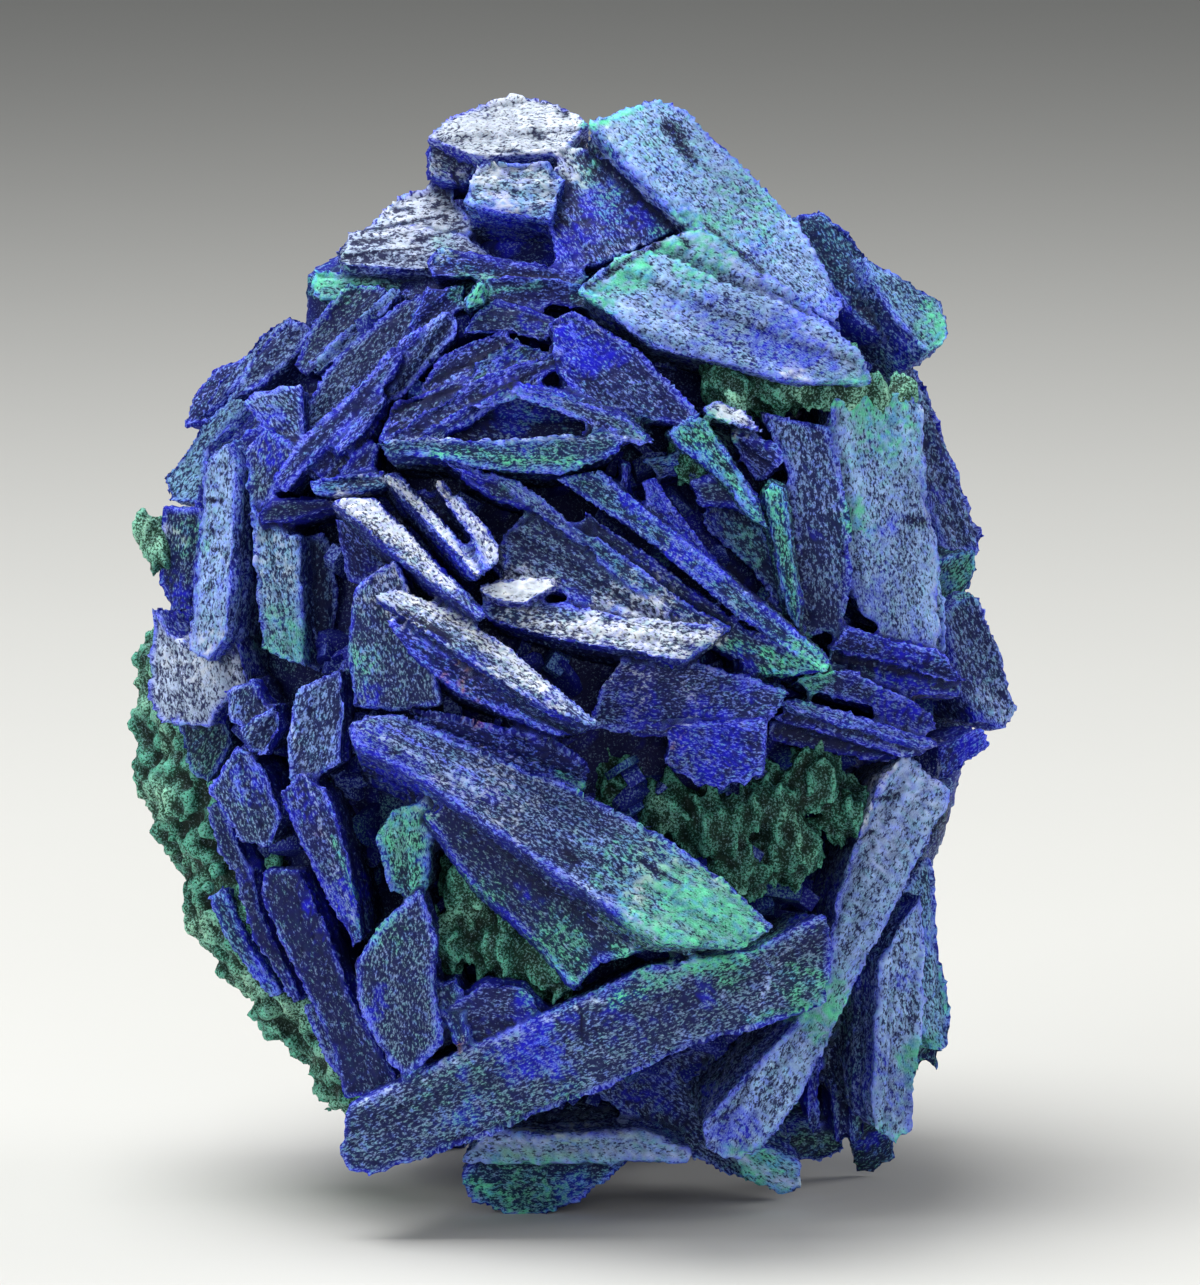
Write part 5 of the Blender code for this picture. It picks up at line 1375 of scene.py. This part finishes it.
# %% Grow buds and folds
BUDS_PER_MM2 = 1.5
BUD_RADIUS_MM = (0.20, 0.50)
BUD_STRETCH = (1.0, 1.35)
FOLD_STRETCH = (1.5, 2.6)
FOLD_FLAT = 0.42
BUD_VOXEL_MM = {"malachite_rim": 0.19, "malachite_bed": 0.24, "malachite_pockets": 0.18}
BUD_TIP_MM = 0.22
BUD_GRAIN_MM = GRAIN_MM * 0.7
BODY_SHARE = 0.86
BUD_SINK = 0.55
BUD_REACH = (0.90, 1.04)
MALACHITE_DEEP = np.array((0.001, 0.014, 0.010))
MALACHITE_MID = np.array((0.014, 0.160, 0.090))
MALACHITE_TIP = np.array((0.09, 0.48, 0.30))
MALACHITE_PALE = np.array((0.30, 0.64, 0.42))


def ball_template(subdivisions):
    """The corners and faces of a ball of radius 1."""
    ball = bmesh.new()
    bmesh.ops.create_icosphere(ball, subdivisions=subdivisions, radius=1.0)
    corners = np.array([vertex.co[:] for vertex in ball.verts])
    faces = np.array([[vertex.index for vertex in face.verts] for face in ball.faces])
    ball.free()
    return corners, faces


# A ball's centre, its radius in mm, the way that it is stretched and by how much, and the same for its
# thinning.
Ball = namedtuple("Ball", "centre size way stretch flat thin")


def bud_cluster(centre, radius, dice, folded):
    """The balls of one lump: its own body, then buds, or upright folds where it is folded."""
    balls = [Ball(centre, radius * BODY_SHARE, RIGHT, 1.0, RIGHT, 1.0)]
    count = int(4 * math.pi * radius * radius * BUDS_PER_MM2)
    for number in range(count):
        height = 1.0 - 2.0 * (number + 0.5) / count
        ring = math.sqrt(1.0 - height * height)
        turn = number * GOLDEN_ANGLE + dice.uniform(-0.4, 0.4)
        outward = Vector((math.cos(turn) * ring, math.sin(turn) * ring, height))
        size = dice.uniform(*BUD_RADIUS_MM)
        reach = (radius - size * BUD_SINK) * dice.uniform(*BUD_REACH)
        place = centre + outward * reach * MM
        if folded:
            way = (Vector(UP) + Vector(dice.normal(0.0, 0.35, 3))).normalized()
            flat = way.cross(Vector(dice.normal(0.0, 1.0, 3))).normalized()
            balls.append(Ball(place, size, way, dice.uniform(*FOLD_STRETCH), flat, FOLD_FLAT))
        else:
            balls.append(Ball(place, size, outward, dice.uniform(*BUD_STRETCH), outward, 1.0))
    return balls


def heap_of_balls(name, balls):
    """One mesh of many balls, each stretched along one direction and thinned along another."""
    corners, faces = ball_template(2)
    places = []
    for ball in balls:
        shaped = corners + np.outer(corners @ np.array(ball.way), ball.way) * (ball.stretch - 1.0)
        shaped += np.outer(corners @ np.array(ball.flat), ball.flat) * (ball.thin - 1.0)
        places.append(np.array(ball.centre) + shaped * ball.size * MM)
    numbers = [faces + step * len(corners) for step in range(len(balls))]
    mesh = bpy.data.meshes.new(name)
    mesh.from_pydata(np.concatenate(places).tolist(), [], np.concatenate(numbers).tolist())
    return mesh


def paint_malachite(points, out, dice):
    """Painted highlight on the tips, painted shade in the hollows, pale mint spots, and a little chance."""
    tip = np.clip(0.42 + out / BUD_TIP_MM + 0.25 * noise_at(points, 0.8, 2.0), 0.0, 1.0)
    colour = blend(np.tile(MALACHITE_DEEP, (len(points), 1)), MALACHITE_MID, np.clip(tip * 2.0, 0.0, 1.0))
    colour = blend(colour, MALACHITE_TIP, np.clip(tip * 2.0 - 1.0, 0.0, 1.0) * 0.8)
    mint = np.clip(noise_at(points, 2.6, 4.0) * 2.5 - 0.6, 0.0, 0.7)
    across, down, _ = to_view(points * MM)
    for (x, y), radius in MINT_SPOTS:
        mint = np.maximum(mint, np.clip(1.5 - np.hypot(across - x, down - y) / radius, 0.0, 1.0))
    colour = blend(colour, MALACHITE_PALE, mint * np.maximum(tip, 0.3))
    colour *= (1.0 + dice.normal(0.0, 0.18, len(points)))[:, None]
    return np.clip(colour, 0.0, 1.0), np.clip(0.42 + 0.35 * tip, 0.0, 1.0), 0.3 * tip, points


# %% Make the malachite
def malachite(name, lumps, seed):
    """Makes one piece of malachite crust."""
    dice = np.random.default_rng(seed)
    centres = [(from_view((x, y), toward), radius) for x, y, toward, radius in lumps]
    folded = name == "malachite_pockets"
    balls = [ball for centre, radius in centres for ball in bud_cluster(centre, radius, dice, folded)]
    piece = fused(name, heap_of_balls(name, balls), BUD_VOXEL_MM[name])
    mesh = piece.data
    places = read_points(mesh)
    normals = read_normals(mesh)
    out = bulge(mesh, places / MM, normals)
    push_out(mesh, places, normals, dice.normal(0.0, BUD_GRAIN_MM, len(places)))
    keep_on_vertices(mesh, *paint_malachite(places / MM, out, dice))
    mesh.shade_smooth()
    mesh.update()
    return put_on(piece)


malachite_pieces = [
    malachite("malachite_rim", LEFT_RIM_LUMPS, 201),
    malachite("malachite_bed", LEFT_BED_LUMPS, 203),
    malachite("malachite_pockets", POCKET_LUMPS, 202),
]

# %% [markdown]
# ## Small crystals in the gaps
#
# Deep between the large blades the core isn't bare. Small stubby crystals stand on it, at all angles around
# the way that it faces, with painted shade at the foot and a painted highlight at the tip. A ray tells whether
# there is room for one.

# %% Sow the small crystals
CRUMBS = 900
CRUMB_TILT = 0.5
CRUMB_LENGTH_MM = (0.8, 2.0)
CRUMB_WIDTH_MM = (0.8, 2.2)
CRUMB_THICKNESS_MM = (0.3, 0.8)
CRUMB_SINK_MM = 0.35
CRUMB_FINISHES = ("grey", "violet", "dark", "slate", "lavender", "moss", "teal", "slate")
CRUMB_CLEAR_MM = 0.8
CRUMB_LIFT_MM = 0.3
CRUMB_SLANT = 0.7
CRUMB_TIP = (0.3, 0.8)
# A small crystal's three rings of corners: how high, as a share of its length. The painted light grows upward,
# from painted shade at the foot to a highlight at the tip.
RING_HEIGHTS = (0.0, 0.7, 1.0)
RING_LIGHTS = (0.0, 0.6, 1.0)
RING_CORNERS = ((-1, -1), (1, -1), (1, 1), (-1, 1))


def add_crumb(shape, foot, axis, dice):
    """One small tapering blade with a slanted tip."""
    length = dice.uniform(*CRUMB_LENGTH_MM) * MM
    width = dice.uniform(*CRUMB_WIDTH_MM) * MM / 2
    depth = dice.uniform(*CRUMB_THICKNESS_MM) * MM / 2
    turn = Vector(dice.normal(0.0, 1.0, 3))
    side = axis.cross(turn).normalized()
    out = axis.cross(side)
    slant = dice.uniform(-CRUMB_SLANT, CRUMB_SLANT) * width
    corners = []
    for share, wide in zip(RING_HEIGHTS, (0.8, 1.0, dice.uniform(*CRUMB_TIP))):
        for across, into in RING_CORNERS:
            lift = share * length + (slant * across if share > 0.0 else 0.0)
            corner = foot + axis * lift + side * across * width * wide + out * into * depth
            corners.append(shape.verts.new(corner))
    shape.faces.new(corners[3::-1])
    shape.faces.new(corners[8:])
    for low, high in ((corners[:4], corners[4:8]), (corners[4:8], corners[8:])):
        for step in range(4):
            after = (step + 1) % 4
            shape.faces.new((low[step], low[after], high[after], high[step]))


def crumbs(name, seed):
    """Sows small crystals on the bare core, and paints them."""
    dice = np.random.default_rng(seed)
    shape = bmesh.new()
    finishes = []
    graph = bpy.context.evaluated_depsgraph_get()
    blockers = [BVHTree.FromObject(piece, graph) for piece in azurite_pieces]
    seats, normals = bare_core
    for seat in dice.choice(len(seats), CRUMBS, replace=False):
        place = Vector(seats[seat])
        normal = Vector(normals[seat])
        start = place + normal * CRUMB_LIFT_MM * MM
        if any(blocker.ray_cast(start, normal, CRUMB_CLEAR_MM * MM)[0] for blocker in blockers):
            continue
        axis = (normal + Vector(dice.normal(0.0, CRUMB_TILT, 3))).normalized()
        add_crumb(shape, place - normal * CRUMB_SINK_MM * MM, axis, dice)
        finishes.append(FINISHES[CRUMB_FINISHES[dice.integers(len(CRUMB_FINISHES))]])
    bmesh.ops.recalc_face_normals(shape, faces=shape.faces)
    mesh = bpy.data.meshes.new(name)
    shape.to_mesh(mesh)
    shape.free()
    piece = new_object(name, mesh)
    places = read_points(mesh)
    light = np.tile(np.repeat(RING_LIGHTS, len(RING_CORNERS)), len(finishes))
    corners_each = len(RING_LIGHTS) * len(RING_CORNERS)
    skin = np.repeat(np.array([finish.skin for finish in finishes]), corners_each, axis=0)
    cover = np.repeat(np.array([finish.cover for finish in finishes]), corners_each)
    # Painted shade at each small crystal's foot and a painted highlight at its tip.
    colour = blend(SHADE_BLUE * np.ones((len(places), 1)), skin, light)
    colour = blend(colour, RIM_COLOUR, 0.25 * np.clip(light * 2.5 - 1.5, 0.0, 1.0))
    keep_on_vertices(mesh, colour, cover * (0.7 + 0.4 * light), 0.10 + 0.25 * light, places / MM)
    print("small crystals:", len(finishes))
    return put_on(piece)


azurite_pieces.append(crumbs("azurite_small", 301))

# %% [markdown]
# ## Materials
#
# A node tree reads best as arithmetic. The small class below wraps a socket, so that an expression in
# Python adds the Math nodes, and one method makes any other node.

# %% Write shader maths
class Wire:
    """A node's output that can be used in expressions."""

    def __init__(self, tree, socket):
        self.tree = tree
        self.socket = socket

    def node(self, kind, output=0, settings=None, **sockets):
        """Makes a node: its settings first, then its sockets, by name or by number after an underscore."""
        made = self.tree.nodes.new(kind)
        for key, value in (settings or {}).items():
            setattr(made, key, value)
        for key, value in sockets.items():
            target = made.inputs[int(key[1:])] if key[0] == "_" else made.inputs[key.replace("_", " ")]
            if isinstance(value, Wire):
                self.tree.links.new(value.socket, target)
            else:
                target.default_value = value
        return Wire(self.tree, made.outputs[output])

    def math(self, operation, other, swap=False):
        first, second = (other, self) if swap else (self, other)
        return self.node("ShaderNodeMath", settings={"operation": operation}, _0=first, _1=second)

    def __add__(self, other):
        return self.math("ADD", other)

    def __radd__(self, other):
        return self.math("ADD", other, swap=True)

    def __sub__(self, other):
        return self.math("SUBTRACT", other)

    def __rsub__(self, other):
        return self.math("SUBTRACT", other, swap=True)

    def __mul__(self, other):
        return self.math("MULTIPLY", other)

    def __rmul__(self, other):
        return self.math("MULTIPLY", other, swap=True)

    def clamp(self):
        return self.node("ShaderNodeClamp", Value=self)

    def mixed(self, first, second):
        """Mixes two colours by this value."""
        settings = {"data_type": "RGBA"}
        return self.node("ShaderNodeMix", 2, settings, _0=self, _6=first, _7=second)


# %% [markdown]
# ## Druse
#
# Close up, the skin isn't one colour: it is pale grains with gaps, and the gaps show the blue below. Noise
# at the size of the grains gives the gaps. The value that was painted on each vertex moves the threshold,
# so that a chalky face is nearly covered and a fresh one is mostly blue. The same noise drives the bump, so
# the pale grains are also the raised ones.

# %% Make the druse materials
GRAINS_PER_MM = 1.0 / 0.105
FINE_PER_MM = 1.0 / 0.05
CLOUDS_PER_MM = 1.0 / 0.9
COVER_START = 0.83
COVER_SLOPE = 9.0
SPARKLE = (0.50, 0.80, 1.0, 1.0)
BUMP_M = 0.00006


def druse(name, deep, vivid, roughness, shine):
    """A granular mineral skin over a deep colour, which is vivid at the rims."""
    material = bpy.data.materials.new(name)
    material.use_nodes = True
    tree = material.node_tree
    shader = tree.nodes["Principled BSDF"]
    start = Wire(tree, None)
    place = start.node("ShaderNodeAttribute", 1, {"attribute_name": "grain_place"})
    skin = start.node("ShaderNodeAttribute", 0, {"attribute_name": "skin_colour"})
    cover = start.node("ShaderNodeAttribute", 2, {"attribute_name": "skin_cover"})
    fresh = start.node("ShaderNodeAttribute", 2, {"attribute_name": "skin_fresh"})
    grains = start.node("ShaderNodeTexNoise", 0, None, Vector=place, Scale=GRAINS_PER_MM, Detail=2.0)
    fine = start.node("ShaderNodeTexNoise", 0, None, Vector=place, Scale=FINE_PER_MM, Detail=1.0)
    clouds = start.node("ShaderNodeTexNoise", 0, None, Vector=place, Scale=CLOUDS_PER_MM, Detail=2.0)
    height = grains * 0.72 + fine * 0.28
    covered = ((height - (COVER_START - 0.43 * cover - 0.20 * clouds)) * COVER_SLOPE).clamp()
    base = fresh.mixed(deep, vivid)
    under = start.node("ShaderNodeMix", 2, {"data_type": "RGBA"}, _0=0.07, _6=base, _7=skin)
    # Painted glints: some grains are mixed toward a sparkle colour.
    bright = (fine * 2.4 - 0.9).clamp()
    lit = (bright * 0.34).mixed(skin, SPARKLE)
    colour = covered.mixed(under, lit)
    tree.links.new(colour.socket, shader.inputs["Base Color"])
    rough = roughness + 0.22 * (1.0 - covered)
    tree.links.new(rough.socket, shader.inputs["Roughness"])
    bump = start.node("ShaderNodeBump", 0, None, Strength=0.7, Distance=BUMP_M, Height=height)
    tree.links.new(bump.socket, shader.inputs["Normal"])
    shader.inputs["Specular IOR Level"].default_value = shine
    return material


azurite_finish = druse(
    "azurite_druse", deep=(0.004, 0.006, 0.035, 1.0), vivid=(0.006, 0.006, 0.62, 1.0),
    roughness=0.36, shine=0.15,
)
malachite_finish = druse(
    "malachite_crust", deep=(0.001, 0.010, 0.007, 1.0), vivid=(0.004, 0.08, 0.03, 1.0),
    roughness=0.50, shine=0.25,
)
print("nodes in the druse:", len(azurite_finish.node_tree.nodes))

for piece in azurite_pieces:
    piece.data.materials.append(azurite_finish)
for piece in malachite_pieces:
    piece.data.materials.append(malachite_finish)

# %% Make the floor material
FLOOR_CLOUD = (0.58, 0.58, 0.56, 1.0)


def floor_finish():
    """A pale matt board, with the faintest unevenness."""
    material = bpy.data.materials.new("pale_board")
    material.use_nodes = True
    tree = material.node_tree
    shader = tree.nodes["Principled BSDF"]
    start = Wire(tree, None)
    place = start.node("ShaderNodeTexCoord", 3)
    cloud = start.node("ShaderNodeTexNoise", 0, None, Vector=place, Scale=40.0, Detail=3.0)
    colour = (cloud * 0.12).mixed(FLOOR_COLOUR, FLOOR_CLOUD)
    tree.links.new(colour.socket, shader.inputs["Base Color"])
    shader.inputs["Roughness"].default_value = 0.85
    return material


floor.data.materials.append(floor_finish())
